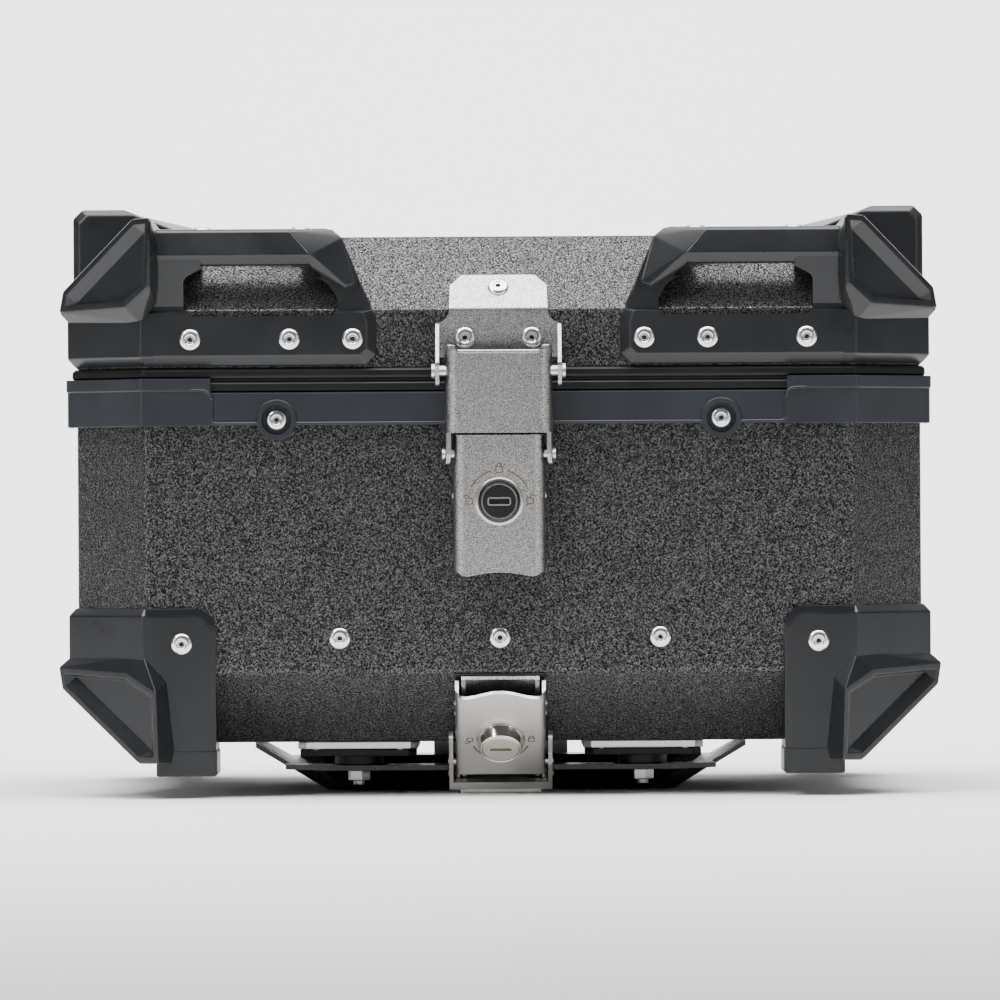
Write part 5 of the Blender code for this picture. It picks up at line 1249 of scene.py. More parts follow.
@dataclass
class LowerGuards:
    """Four moulded guards with feet on the lower corners of the body."""

    edge: float = 0.7 * MM
    band: float = 4.3 * MM
    band_drop: float = 1.2 * MM
    out: float = 4.5 * MM
    inner: tuple[float, float] = (139.7 * MM, 152.0 * MM)
    top_up: float = 67 * MM
    corner: float = 11 * MM
    plate_low: float = -4.4 * MM
    foot_drop: float = 15.4 * MM
    foot_w: float = 30 * MM
    foot_bury: float = 42 * MM
    foot_proud: float = 0.35 * MM
    foot_edge: float = 0.8 * MM
    plate_bury: float = 45 * MM
    shortest: float = 2.6 * MM
    skirt_drop: float = 9 * MM
    skirt_slope: Point = (3.6 * MM, 0.2 * MM)
    diagonal: Point = (4.4 * MM, 9.8 * MM)
    wing_up: float = 37 * MM
    side_len: float = 80 * MM
    wing: Wing = Wing(
        face=((9.6, -0.9), (-25.5, 1.2), (-40.3, 10.6), (-41.5, 45.4), (-30.9, 45.2), (7.9, 9.6)),
        front=((-34.0, -6.3), (-45.2, 5.6), (-48.9, 39.3), (-47.7, 45.4)))

    def build(self) -> None:
        """Make the four guards."""
        for end, end_name in ENDS:
            for side, side_name in SIDES:
                name = f"lower_guard_{end_name}_{side_name}"
                Forge.publish(self.guard(Corner(side, end)), f"{name}_moulding", Body.CASE, ABS, (name,))

    def guard(self, corner: Corner) -> Mesh:
        """One guard: plate, foot, skirt and wing in one, seated on the body."""
        z_edge = FORM.body_low + self.wing_up
        wing = self.wing.shell(corner, z_edge, -1)
        solid = Forge.combine(self.plate(corner), Fuse.JOIN, self.foot(corner), self.skirt(corner, z_edge),
                              wing)
        return Forge.combine(solid, Fuse.CUT, FORM.body_block())

    def plate(self, corner: Corner) -> Mesh:
        """Front plate with a sloped band along its top and inner edge."""
        inner = self.inner[0 if corner.end < 0 else 1]
        top, low = FORM.body_low + self.top_up, FORM.body_low + self.plate_low
        reach = FORM.half_w - FORM.corner_cut + 0.3 * MM
        front = FORM.half_d + self.out

        def outline(inset: float) -> list[Point]:
            """Plate seen from the front, its free edges drawn in."""
            turn = Path.arc((inner + self.corner, top - self.corner), self.corner - inset, 90, 180, 8)
            return [(inner + inset, low), (reach, low), (reach, top - inset)] + turn

        stations = ((FORM.half_d - self.plate_bury, 0.0), (front - self.band_drop, 0.0), (front, self.band))
        rings = [[corner.at(a, b, z) for a, z in outline(inset)] for b, inset in stations]
        return Forge.soften(Forge.loft(rings), self.edge, 2, 20,
                            lambda edge: edge.calc_length() > self.shortest)

    def foot(self, corner: Corner) -> Mesh:
        """Foot block under the plate."""
        inner = self.inner[0 if corner.end < 0 else 1] - 0.6 * MM
        low, top = FORM.body_low - self.foot_drop, FORM.body_low + self.plate_low + 1.6 * MM
        outline = Path.rounded(((inner, low, 1.8 * MM), (inner + self.foot_w, low, 1.2 * MM),
                                (inner + self.foot_w, top, 0.6 * MM), (inner, top, 0.8 * MM)), 4)
        block = Forge.prism(outline, FORM.half_d - self.foot_bury, FORM.half_d + self.out + self.foot_proud,
                            lambda a, z, b: corner.at(a, b, z))
        return Forge.soften(block, self.foot_edge, 2, 40)

    def skirt(self, corner: Corner, z_edge: float) -> Mesh:
        """Wall round the corner and along the side, cut off under the wing's diagonal."""
        top = FORM.body_low + self.top_up
        low = FORM.body_low - self.skirt_drop
        under, over = self.skirt_slope
        levels = ((low, self.out), (top - under, self.out), (top + over, self.out * 0.2))
        wall = Forge.soften(corner.skirt(self.side_len, levels), self.edge, 2, 14)
        gap = FORM.half_w + self.diagonal[0] - (z_edge - self.diagonal[1])
        far = FORM.half_w
        wedge = ((gap - far, -far), (gap + far, -far), (gap + far, far))
        below = Forge.prism(wedge, 0, FORM.half_d * 2, lambda a, z, b: corner.at(a, b, z))
        return Forge.combine(wall, Fuse.CUT, below)


@dataclass
class HandleGuards:
    """Two front lid guards, each with a carrying handle and a wing."""

    edge: float = 0.7 * MM
    out: float = 4.5 * MM
    end: float = 60 * MM
    plate_band: float = 4.8 * MM
    side_len: float = 92 * MM
    wing_up: float = 28.5 * MM
    roof: float = 3.0 * MM
    wing: Wing = Wing(
        face=((8.5, -0.4), (-25.5, 1.2), (-37.0, 11.0), (-38.6, 45.0), (-29.5, 44.6), (6.5, 10.0)),
        front=((-33.0, -6.5), (-41.0, 2.5), (-42.0, 11.5), (-42.5, 30.0)),
        lip=((-27.0, -1.6), (-38.9, 9.6)))
    bar: tuple[Point, ...] = ((6.6, 27.6), (3.0, 22.6), (-6.0, 22.4), (-11.0, 28.0), (-11.0, 38.0),
                              (-8.5, 40.6), (0.2, 40.6), (2.6, 39.4))
    bar_edge: float = 0.9 * MM
    bar_ends: tuple[float, float, float] = (92.0, 94.0, 170.0)
    mitre: float = 0.85
    low_up: float = 0.8 * MM
    high_up: float = 28.2 * MM
    back_in: float = 50 * MM
    step: Point = (-20.0, 1.2)
    through: Point = (-60.0, 30.0)

    def build(self) -> None:
        """Make both guards."""
        for side, side_name in SIDES:
            name = f"handle_guard_{side_name}"
            Forge.publish(self.guard(Corner(side, -1)), f"{name}_moulding", Body.LID, ABS, (name,))

    def guard(self, corner: Corner) -> Mesh:
        """One guard: plate, neck, skirt, wing, bar, leg, post and top flange in one, seated on the lid."""
        z_edge = FORM.lid_low + self.wing_up
        roof = FORM.lid_high + self.roof
        back = FORM.half_d - self.back_in
        behind = [corner.at(FORM.half_w, back, z_edge + 10 * MM),
                  corner.at(FORM.half_w - 32 * MM, back, roof), corner.at(168 * MM, back, roof),
                  corner.at(166 * MM, FORM.half_d - 10 * MM, roof),
                  corner.at(FORM.half_w, back, z_edge - 5 * MM)]
        wing = self.wing.shell(corner, z_edge, 1, behind)
        solid = Forge.combine(self.plate(corner), Fuse.JOIN, self.neck(corner), self.leg(corner, roof),
                              self.post(corner, roof))
        solid = Forge.combine(solid, Fuse.CUT, self.opening(corner))
        Forge.soften(solid, self.bar_edge, 3, 30, Forge.is_cut_rim)
        solid = Forge.combine(solid, Fuse.JOIN, self.skirt(corner), wing, self.grip(corner),
                              self.flange(corner, roof, back))
        return Forge.combine(solid, Fuse.CUT, FORM.lid_block())

    @staticmethod
    def place(corner: Corner) -> Place:
        """Function that puts (a, z, out past the front) in millimetres into the row frame."""
        return lambda a, z, out: corner.at(a * MM, FORM.half_d + out * MM, z * MM)

    def points(self, corner: Corner, spots: Iterable[tuple[float, float, float]]) -> list[Vector]:
        """Points of (a, out past the front, z) in millimetres."""
        place = self.place(corner)
        return [place(a, z, out) for a, out, z in spots]

    def plate(self, corner: Corner) -> Mesh:
        """Riveted plate along the lid's front wall."""
        low = FORM.lid_low + self.low_up
        reach = FORM.half_w - FORM.corner_cut + 0.4 * MM
        front = FORM.half_d + self.out

        def outline(inset: float, drop: float) -> list[Point]:
            """Plate seen from the front."""
            end, top = self.end + inset, FORM.lid_low + self.high_up - drop
            return [(end + 5 * MM - inset * 0.4, low + inset), (reach, low + inset), (reach, top),
                    (end + 2 * MM, top), (end, top - 5.4 * MM), (end, low + inset + 5 * MM - inset * 0.4)]

        stations = ((FORM.half_d - 22 * MM, 0.0, 0.0), (front - 3.4 * MM, 0.0, 0.0),
                    (front, self.plate_band, 1.3 * MM))
        rings = [[corner.at(a, b, z) for a, z in outline(inset, drop)] for b, inset, drop in stations]
        return Forge.soften(Forge.loft(rings), self.edge, 2, 16)

    def neck(self, corner: Corner) -> Mesh:
        """Step behind the plate that carries the handle's ends."""
        outline = ((62.4, 234.0), (172.0, 234.0), (172.0, 256.0), (70.0, 256.0), (67.8, 253.4),
                   (62.4, 242.4))
        return Forge.soften(Forge.prism(outline, *self.step, self.place(corner)), self.edge, 2, 16)

    def leg(self, corner: Corner, roof: float) -> Mesh:
        """Inner end of the handle, leaning down from the bar to the plate."""
        top = roof / MM
        spots = ((102.8, 2.6, 278.5), (102.8, 0.2, top), (92.0, 6.6, 266.7), (93.0, 3.0, 261.7),
                 (97.0, -11.0, 262.0), (97.0, -20.0, top), (83.8, -20.0, top), (81.5, -1.0, top - 0.2),
                 (76.3, 1.0, 275.0), (67.8, 2.4, 253.7), (70.3, 5.0, 252.9), (74.7, 5.5, 250.9),
                 (79.0, 1.0, 249.5), (69.5, 1.0, 250.0), (69.0, -16.0, 252.0), (80.0, -16.0, 252.0))
        return Forge.soften(Forge.hull(self.points(corner, spots)), self.edge, 2, 12)

    def post(self, corner: Corner, roof: float) -> Mesh:
        """Outer end of the handle, beside the wing."""
        top = roof / MM
        section = ((5.4, 266.0), (2.4, 262.4), (2.2, 251.5), (1.1, 241.0), (1.4, top - 2.0), (-22.0, 250.0),
                   (-22.0, top - 2.0))
        spots = [(a, out, z) for a in (146.0, 172.0) for out, z in section]
        return Forge.soften(Forge.hull(self.points(corner, spots)), self.edge, 2, 12)

    def opening(self, corner: Corner) -> Mesh:
        """Cutter of the finger opening under the bar."""
        outline = Path.rounded(((78.8, 236.6, 3.6), (154.6, 236.6, 4.6), (154.6, 255.5, 4.0),
                                (144.0, 261.2, 4.0), (98.5, 261.2, 8.0), (83.5, 252.5, 9.0),
                                (78.8, 245.0, 6.0)), 5)
        return Forge.prism(outline, *self.through, self.place(corner))

    def grip(self, corner: Corner) -> Mesh:
        """Bar of the handle, its inner end mitred towards the leg."""
        spots = []
        near, behind, far = self.bar_ends
        for out, rise in self.bar:
            end = near + (rise - self.bar[0][1]) * self.mitre if out > 0 else behind
            spots += [(a, out, FORM.lid_crease / MM + rise) for a in (end, far)]
        return Forge.soften(Forge.hull(self.points(corner, spots)), self.bar_edge, 3, 14)

    def skirt(self, corner: Corner) -> Mesh:
        """Wall round the corner and along the side."""
        low = FORM.lid_low + self.low_up
        levels = ((low, self.out * 0.15), (low + 4.2 * MM, self.out), (FORM.lid_low + 27 * MM, self.out))
        return Forge.soften(corner.skirt(self.side_len, levels), self.edge, 2, 14)

    def flange(self, corner: Corner, roof: float, back: float) -> Mesh:
        """Riveted flange on the lid's top."""
        inner, outer = 83.8 * MM, 170 * MM
        outline = Path.rounded(((inner, back, 4 * MM), (outer, back, 0.0), (outer, back + 26 * MM, 0.0),
                                (inner, back + 34 * MM, 0.0)), 5)
        plate = Forge.prism(outline, FORM.lid_high - 1 * MM, roof + 0.8 * MM, corner.at)
        return Forge.soften(plate, self.edge, 2, 30)


@dataclass
class RearGuards:
    """Two square-shouldered guards on the rear corners of the lid."""

    edge: float = 1.1 * MM

    def build(self) -> None:
        """Dress both guards."""
        for _, side in SIDES:
            Forge.dress(f"lid_guard_rear_{side}", "moulding", Body.LID, ABS, self.edge, 3, 14)


@dataclass
class Hasp:
    """Bracket on the lid and the link that swings on it, in blasted sheet steel."""

    edge: float = 0.35 * MM
    sheet: float = 2.0 * MM
    link_sheet: float = 1.8 * MM
    half: float = 23.8 * MM
    wide: float = 31.0 * MM
    low_up: float = 4.4 * MM
    run: float = 21.6 * MM
    chamfer: float = 7.0 * MM
    shoulder: float = 6.8 * MM
    bend: float = 1.2 * MM
    link_bend: float = 6.5 * MM
    lip: float = 5.0 * MM
    roll: float = 1.0 * MM
    pin_edge: float = 0.5 * MM
    web: Point = (30.4 * MM, 10.4 * MM)
    leg: float = 5 * MM

    def build(self) -> None:
        """Make the bracket, the link and their pins."""
        Forge.publish(self.bracket(), "hasp_bracket_sheet", Body.LID, STEEL, ("hasp_bracket",))
        Forge.publish(self.link(), "hasp_link_sheet", Body.LINK, STEEL, ("hasp_link",))
        for node, body in (("hasp_pin", Body.LID), ("cover_pin", Body.LINK)):
            Forge.dress(node, "steel", body, SMOOTH_STEEL, self.pin_edge, 3)

    def bracket(self) -> Mesh:
        """Plate bent over the lid's fold, narrow above with cut corners, with two ears."""
        near, far = FORM.gap, FORM.gap + self.sheet
        low = FORM.lid_low + self.low_up
        fold = FORM.on_front(0, 0, FORM.lid_crease)
        mitre = (FRONT + FORM.lid_slope_out) / (1 + FRONT.dot(FORM.lid_slope_out))
        centre = fold + mitre * (near - self.bend)
        steps = [FRONT.slerp(FORM.lid_slope_out, k / 6) for k in range(7)]
        section = [FORM.on_front(0, near, low), FORM.on_front(0, far, low)]
        section += [centre + arm * (self.bend + self.sheet) for arm in steps]
        section += [FORM.on_lid_slope(0, self.run, far), FORM.on_lid_slope(0, self.run, near)]
        section += [centre + arm * self.bend for arm in reversed(steps)]
        plate = Forge.prism([(-point.y - FORM.half_d, point.z) for point in section], -self.wide - MM,
                            self.wide + MM, FORM.sideways)
        shoulder_z = FORM.lid_crease + 0.5 * MM
        chamfer_z = FORM.on_lid_slope(0, self.run - self.chamfer, far).z
        peak = FORM.on_lid_slope(0, self.run, far).z + MM
        tip = self.half - self.chamfer
        right = [(self.wide, low - MM)]
        right += Path.arc((self.wide, shoulder_z), self.shoulder, 270, 180)
        right += [(self.half, chamfer_z), (tip, peak)]
        front = right + [(-x, z) for x, z in reversed(right)]
        mask = Forge.prism(front, far + 4 * MM, -FORM.half_d, FORM.facing)
        plate = Forge.soften(Forge.combine(plate, Fuse.KEEP, mask), self.edge, 2, 40)
        return Forge.join(plate, *self.ears(low))

    def ears(self, low: float) -> list[Mesh]:
        """Two ears that carry the hasp pin."""
        pin_low, pin_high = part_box("hasp_pin")
        pin = (pin_low + pin_high) / 2
        out = -pin.y - FORM.half_d
        top = FORM.lid_crease - 6.7 * MM
        foot = pin.z - 7.3 * MM
        root, base = 0.6 * MM, low + 0.3 * MM
        outline = Path.rounded(((root, top, 0), (root, base, 0), (7 * MM, base, 1 * MM),
                                (out - 6.2 * MM, foot, 2 * MM), (out + 3.8 * MM, foot, 2.5 * MM),
                                (out + 5.6 * MM, pin.z + 3.6 * MM, 3 * MM), (4.3 * MM, top, 0)), 5)
        ears = []
        for side, _ in SIDES:
            ear = Forge.prism(outline, side * (self.wide - self.sheet), side * self.wide, FORM.sideways)
            ears.append(Forge.soften(ear, self.edge, 2, 40))
        return ears

    def link(self) -> Mesh:
        """Channel with rounded bends, a turned-in lip on top and two legs for the cover's pin."""
        low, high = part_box("hasp_link")
        hinge = self.middle("hasp_pin")
        lower = self.middle("cover_pin")
        face, back = -low.y - FORM.half_d, -high.y - FORM.half_d
        web_low, web_high = hinge.z - self.web[0], hinge.z + self.web[1]
        section = Path.channel(high.x, face - back + MM, self.link_sheet, self.link_bend, 10)
        strip = Forge.prism(section, low.z - MM, high.z + MM, lambda x, p, z: FORM.on_front(x, face - p, z))
        pin_out, leg_out = -hinge.y - FORM.half_d, -lower.y - FORM.half_d
        leg = self.leg
        side = Path.rounded((
            (face + MM, web_low, 0), (face + MM, web_high, 0), (pin_out + 4 * MM, web_high, 0),
            (pin_out + 4 * MM, high.z, 0.8 * MM), (pin_out - 0.3 * MM, high.z, 2 * MM),
            (pin_out - leg, hinge.z + leg, 2 * MM), (back, hinge.z - leg, 2 * MM), (back, web_low, 1 * MM),
            (leg_out - leg, lower.z, 2 * MM), (leg_out - leg * 0.6, low.z, 1.5 * MM),
            (leg_out + leg * 0.6, low.z, 1.5 * MM), (leg_out + 3.9 * MM, lower.z, 1.5 * MM),
            (leg_out + 3.9 * MM, web_low, 0)), 4)
        mask = Forge.prism(side, -high.x - MM, high.x + MM, FORM.sideways)
        strip = Forge.combine(strip, Fuse.KEEP, mask)
        Forge.soften(strip, self.edge, 2, 40)
        half = high.x - self.link_bend
        lip_face, lip_back = face - 0.9 * MM, face - self.lip
        lip = Forge.prism(((half, lip_face), (half, lip_back), (-half, lip_back), (-half, lip_face)),
                          web_high - self.link_sheet, web_high - 0.15 * MM, FORM.on_front)
        roll = [FORM.on_front(x, face - 0.1 * MM, web_high - self.roll) for x in (-half, half)]
        return Forge.join(strip, Forge.soften(lip, self.edge, 2, 40), Forge.bead(roll, FRONT, self.roll))

    @staticmethod
    def middle(node: str) -> Vector:
        """Middle of a CAD node."""
        low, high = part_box(node)
        return (low + high) / 2


@dataclass
class Pictogram:
    """Etched padlock signs and arcs round a lock."""

    line: float = 0.62 * MM
    thick: float = 0.05 * MM
    body: float = 3.2 * MM
    bow: float = 1.15 * MM

    def padlock(self, spot: Point, place: Place, turn: float = 0.0, opened: float = 0.0) -> Mesh:
        """Outline of a small padlock.

        Args:
            spot: Middle of its body.
            place: Function that puts (p, q, height) into the row frame.
            turn: Angle that it is turned by, in degrees.
            opened: How far its bow is swung to one side.

        Returns:
            The mesh.
        """
        spin = Matrix.Rotation(math.radians(turn), 2)
        half = self.body / 2

        def put(p: float, q: float, height: float) -> Vector:
            """Point of the sign, turned about its middle."""
            return place(*(Vector(spot) + spin @ Vector((p, q))), height)

        top, line = half * 0.8, self.line * 0.8
        bow = [(opened - self.bow, top), *Path.arc((opened, half * 1.1), self.bow, 180, 0),
               (opened + self.bow, top)]
        body = Path.panel(half, -half, top, 0.3 * MM, 2)
        return Forge.join(Forge.stroke(body, line, self.thick, put, True),
                          Forge.stroke(bow[:-1] if opened else bow, line, self.thick, put))

    def sweep(self, spot: Point, radius: float, start: float, end: float, place: Place) -> Mesh:
        """Arc round a lock between two angles in degrees."""
        return Forge.stroke(Path.arc(spot, radius, start, end, 14), self.line, self.thick, place)


@dataclass
class LockCover:
    """Cover channel that swings over the catch, with its turn lock."""

    edge: float = 0.35 * MM
    sheet: float = 1.8 * MM
    bend: float = 6.0 * MM
    proud: float = 3.0 * MM
    washer: float = 11.75 * MM
    barrel: float = 10.25 * MM
    plug: float = 8.75 * MM
    keyway: Point = (11 * MM, 3.2 * MM)
    arc: float = 15.4 * MM
    wave: tuple[Point, ...] = ((22.6, 4.4), (20.6, 2.0), (18.4, 0.4), (16.4, 0.0), (14.0, 0.15),
                               (10.5, 0.9), (5.5, 1.7), (0.0, 1.95))
    round_sides: int = 56

    def build(self) -> None:
        """Make the cover, its lock and the catch behind it."""
        low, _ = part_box("lock_cover")
        lock = Hasp.middle("lock_plug")
        face = -low.y - FORM.half_d
        Forge.publish(self.cover(face, lock.z), "lock_cover_sheet", Body.COVER, STEEL, ("lock_cover",))
        self.turn_lock(face, lock.z)
        self.marks(face, lock.z)
        for node, body, finish in (("lock_nut", Body.COVER, ZINC), ("lock_cam", Body.PLUG, ZINC),
                                   ("catch_plate", Body.CASE, SMOOTH_STEEL)):
            Forge.dress(node, "metal", body, finish, self.edge)

    def cover(self, face: float, lock_z: float) -> Mesh:
        """Channel with rounded bends and a waved lower edge."""
        low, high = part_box("lock_cover")
        depth = high.y - low.y
        section = Path.channel(high.x, depth, self.sheet, self.bend, 10)
        strip = Forge.prism(section, low.z, high.z, lambda x, p, z: FORM.on_front(x, face - p, z))
        edge = [(x * MM + (MM if k == 0 else 0), low.z + z * MM) for k, (x, z) in enumerate(self.wave)]
        edge += [(-x, z) for x, z in reversed(edge[:-1])]
        top = high.z + MM
        mask = Forge.prism([(high.x + MM, top), *edge, (-high.x - MM, top)], -MM, depth + MM,
                           lambda x, z, p: FORM.on_front(x, face - p, z))
        strip = Forge.combine(strip, Fuse.KEEP, mask)
        bore = Forge.drill(self.barrel, FORM.on_front(0, face, lock_z), FRONT)
        strip = Forge.combine(strip, Fuse.CUT, bore)
        return Forge.soften(strip, self.edge, 2, 40)

    def turn_lock(self, face: float, z: float) -> None:
        """Washer, black barrel, bright ring and plug with its keyway."""
        base = FORM.on_front(0, face, z)
        cad_back = face - (-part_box("lock_barrel")[1].y - FORM.half_d)
        front, bore = self.proud, self.plug + 0.3 * MM
        rim = self.barrel + 0.3 * MM
        washer = ((rim, 0.15 * MM), (self.washer, 0.15 * MM), (self.washer, 0.6 * MM),
                  (self.washer - 0.5 * MM, 1.1 * MM), (rim, 1.2 * MM))
        barrel = ((bore, -cad_back), (self.barrel, -cad_back), (self.barrel, front - 0.5 * MM),
                  (self.barrel - 0.35 * MM, front - 0.1 * MM), (bore + 0.3 * MM, front),
                  (bore, front - 0.2 * MM))
        for profile, name, finish, node in ((washer, "lock_washer_ring", SMOOTH_STEEL, "lock_washer"),
                                            (barrel, "lock_barrel_black", LOCK_BLACK, "lock_barrel")):
            turned = Forge.turned(profile, base, FRONT, self.round_sides, True)
            Forge.publish(turned, name, Body.COVER, finish, (node,))
        tail_low = -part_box("lock_plug")[1].y - FORM.half_d - face
        tail = 3.5 * MM
        core = ((0, front - 0.25 * MM), (self.plug - 0.55 * MM, front - 0.25 * MM),
                (self.plug - 0.1 * MM, front), (self.plug, front - 0.2 * MM), (self.plug, -cad_back),
                (tail, -cad_back), (tail, tail_low), (0, tail_low))
        slot = self.slot(face + front, z, 3 * MM, self.keyway, 0.5 * MM)
        plug = Forge.combine(Forge.turned(core, base, FRONT, self.round_sides), Fuse.CUT, slot)
        Forge.publish(plug, "lock_plug_black", Body.PLUG, LOCK_BLACK, ("lock_plug",))
        ring = ((self.plug - 0.55 * MM, front - 0.4 * MM), (self.plug - 0.02 * MM, front - 0.4 * MM),
                (self.plug - 0.05 * MM, front + 0.12 * MM), (self.plug - 0.5 * MM, front + 0.12 * MM))
        rim_ring = Forge.turned(ring, base, FRONT, self.round_sides, True)
        width, height = self.keyway
        half_w, half_h = width / 2 - 0.1 * MM, height / 2 + 0.1 * MM
        path = Path.panel(half_w, z - half_h, z + half_h, 0.8 * MM, 4)
        liner = Forge.stroke(path, 0.75 * MM, 1.4 * MM,
                             lambda x, q, h: FORM.on_front(x, face + front - 1.2 * MM + h, q), True)
        Forge.publish(Forge.join(rim_ring, liner), "lock_plug_ring", Body.PLUG, LOCK_RING)

    @staticmethod
    def slot(front: float, z: float, depth: float, size: Point, corner: float) -> Mesh:
        """Cutter of a keyway in a lock face."""
        half_w, half_h = size[0] / 2, size[1] / 2
        outline = Path.panel(half_w, z - half_h, z + half_h, corner)
        return Forge.prism(outline, front - depth, front + depth, FORM.facing)

    def marks(self, face: float, z: float) -> None:
        """Etched signs: locked above, open at either side, with arcs between."""
        sign = Pictogram()

        def put(x: float, q: float, height: float) -> Vector:
            """Point on the cover's face."""
            return FORM.on_front(x, face + 0.01 * MM + height, q)

        centre = (0.0, z)
        pieces = [sign.padlock((0.0, z + self.arc + 0.4 * MM), put),
                  sign.padlock((-self.arc + 0.6 * MM, z + 0.4 * MM), put, opened=-1.4 * MM),
                  sign.padlock((self.arc - 0.4 * MM, z + 0.4 * MM), put, opened=1.4 * MM),
                  sign.sweep(centre, self.arc, 27, 75, put), sign.sweep(centre, self.arc, 105, 153, put)]
        Forge.publish(Forge.join(*pieces), "lock_cover_marks", Body.COVER, ETCHED, flat=True)


@dataclass
class BaseLock:
    """Lever lock on the body's lower front slope, with the claw that it draws up."""

    edge: float = 0.4 * MM
    sheet: float = 1.8 * MM
    half: float = 22.3 * MM
    face: float = 11.5 * MM
    back: float = 3.0 * MM
    bend: float = 3.4 * MM
    ear_top: float = 3.0 * MM
    lever_end: float = 72.6 * MM
    web_end: float = 65.0 * MM
    trim: Point = (68.0 * MM, 9.4 * MM)
    ear_turn: float = 2.2 * MM
    bore: float = 10.6 * MM
    round_sides: int = 56
    claw_bar: tuple[Point, ...] = ((70.5, 10.0), (70.5, 12.5), (76.0, 12.5), (76.0, 10.0))
    claw_leg: tuple[Point, ...] = ((38.0, 5.0), (38.0, 9.5), (58.0, 10.5), (58.0, 5.0))
    claw_half: tuple[float, float] = (23.6 * MM, 25.6 * MM)
    wave_top: float = 2.9 * MM
    wave_side: float = 7.2 * MM
    lock_down: float = 38.3 * MM
    cone_high: float = 6.5 * MM
    plug: float = 9.0 * MM
    keyway: Point = (11 * MM, 2.0 * MM)
    mark_out: float = 15.2 * MM
    arc: float = 14.3 * MM

    def build(self) -> None:
        """Make the lever, its lock, its marks, the frame and the claw."""
        Forge.publish(self.lever(), "base_lever_sheet", Body.LEVER, SMOOTH_STEEL, ("base_lever",))
        Forge.publish(self.claw(), "base_claw_yoke", Body.CLAW, SMOOTH_STEEL, ("base_claw",))
        self.turn_lock()
        self.marks()
        plan = (("base_lock_frame", Body.CASE, STEEL), ("base_lever_pin", Body.CASE, SMOOTH_STEEL),
                ("base_lock_cam", Body.BASE_PLUG, ZINC), ("base_lock_gasket", Body.CASE, RUBBER))
        for node, body, finish in plan:
            Forge.dress(node, "dressed", body, finish, self.edge)

    def lever(self) -> Mesh:
        """Channel lever with a waved upper edge between two ears, and the lock's hole."""
        section = Path.channel(self.half, self.face - self.back, self.sheet, self.bend, 8)
        strip = Forge.prism(section, self.ear_top, self.lever_end,
                            lambda x, p, down: FORM.on_slope(x, down, self.face - p))
        inside = self.half - self.sheet
        turn = self.ear_turn
        rise = self.wave_side - self.wave_top
        run = inside - turn
        wave = [(run * k / 10, self.wave_side - rise * (0.5 + 0.5 * math.cos(math.pi * abs(k) / 10)))
                for k in range(-10, 11)]
        left = Path.arc((-inside + turn, self.wave_side - turn), turn, 180, 90, 5)
        right = Path.arc((inside - turn, self.wave_side - turn), turn, 90, 0, 5)
        outline = [(-inside, -5 * MM), *left, *wave[1:-1], *right, (inside, -5 * MM)]
        mouth = Forge.prism(outline, self.back - MM, self.face + MM, FORM.on_slope)
        bore = Forge.drill(self.bore, FORM.on_slope(0, self.lock_down, self.face), FORM.slope_out)
        past = self.lever_end + MM
        trim_from, trim_level = self.trim
        tail = Forge.prism(Path.panel(inside, self.web_end, past), self.back - MM, self.face + MM,
                           FORM.on_slope)
        trim = Forge.prism(Path.panel(self.half + MM, trim_from, past), trim_level, self.face + MM,
                           FORM.on_slope)
        strip = Forge.combine(strip, Fuse.CUT, mouth, bore, tail, trim)
        return Forge.soften(strip, self.edge, 2, 40)

    def claw(self) -> Mesh:
        """Yoke with a broad bar under the lever and legs that run up beside it."""
        inner, outer = self.claw_half
        bar = [(down * MM, level * MM) for down, level in self.claw_bar]
        leg = Path.rounded([(down * MM, level * MM, 1.6 * MM) for down, level in self.claw_leg], 4)

        def put(down: float, level: float, x: float) -> Vector:
            """Point of an outline that is seen from the side."""
            return FORM.on_slope(x, down, level)

        pieces = [Forge.prism(bar, -outer, outer, put)]
        for side, _ in SIDES:
            pieces.append(Forge.prism(leg, side * inner, side * outer, put))
        return Forge.soften(Forge.combine(Forge.copy("base_claw"), Fuse.JOIN, *pieces), self.edge, 2, 40)

    def turn_lock(self) -> None:
        """Coned barrel and its plug with a keyway."""
        base = FORM.on_slope(0, self.lock_down, self.face)
        bore, top = self.plug + 0.25 * MM, self.cone_high
        inside = -4.0 * MM
        cone = ((bore, inside), (10.4 * MM, inside), (10.4 * MM, 0.2 * MM), (12.15 * MM, 0.2 * MM),
                (12.15 * MM, 0.8 * MM), (11.9 * MM, 1.3 * MM), (10.35 * MM, top - 0.5 * MM),
                (10.0 * MM, top - 0.1 * MM), (bore + 0.3 * MM, top), (bore, top - 0.25 * MM))
        barrel = Forge.turned(cone, base, FORM.slope_out, self.round_sides, True)
        Forge.publish(barrel, "base_lock_cone", Body.LEVER, NICKEL, ("base_lock_barrel",))
        tail = 2.5 * MM
        core = ((0, top - 0.1 * MM), (self.plug - 0.3 * MM, top - 0.1 * MM), (self.plug, top - 0.35 * MM),
                (self.plug, inside), (tail, inside), (tail, -6.2 * MM), (0, -6.2 * MM))
        half_w, half_h = self.keyway[0] / 2, self.keyway[1] / 2
        outline = Path.panel(half_w, self.lock_down - half_h, self.lock_down + half_h, 0.4 * MM)
        slot = Forge.prism(outline, self.face + top - 3 * MM, self.face + top + MM, FORM.on_slope)
        plug = Forge.combine(Forge.turned(core, base, FORM.slope_out, self.round_sides), Fuse.CUT, slot)
        Forge.publish(plug, "base_lock_plug_nickel", Body.BASE_PLUG, NICKEL, ("base_lock_plug",))

    def marks(self) -> None:
        """Etched signs and short arcs beside the lock."""
        sign = Pictogram(body=2.8 * MM, line=0.75 * MM)

        def put(x: float, up: float, height: float) -> Vector:
            """Point on the lever's face, with up running up the slope."""
            return FORM.on_slope(x, -up, self.face + 0.01 * MM + height)

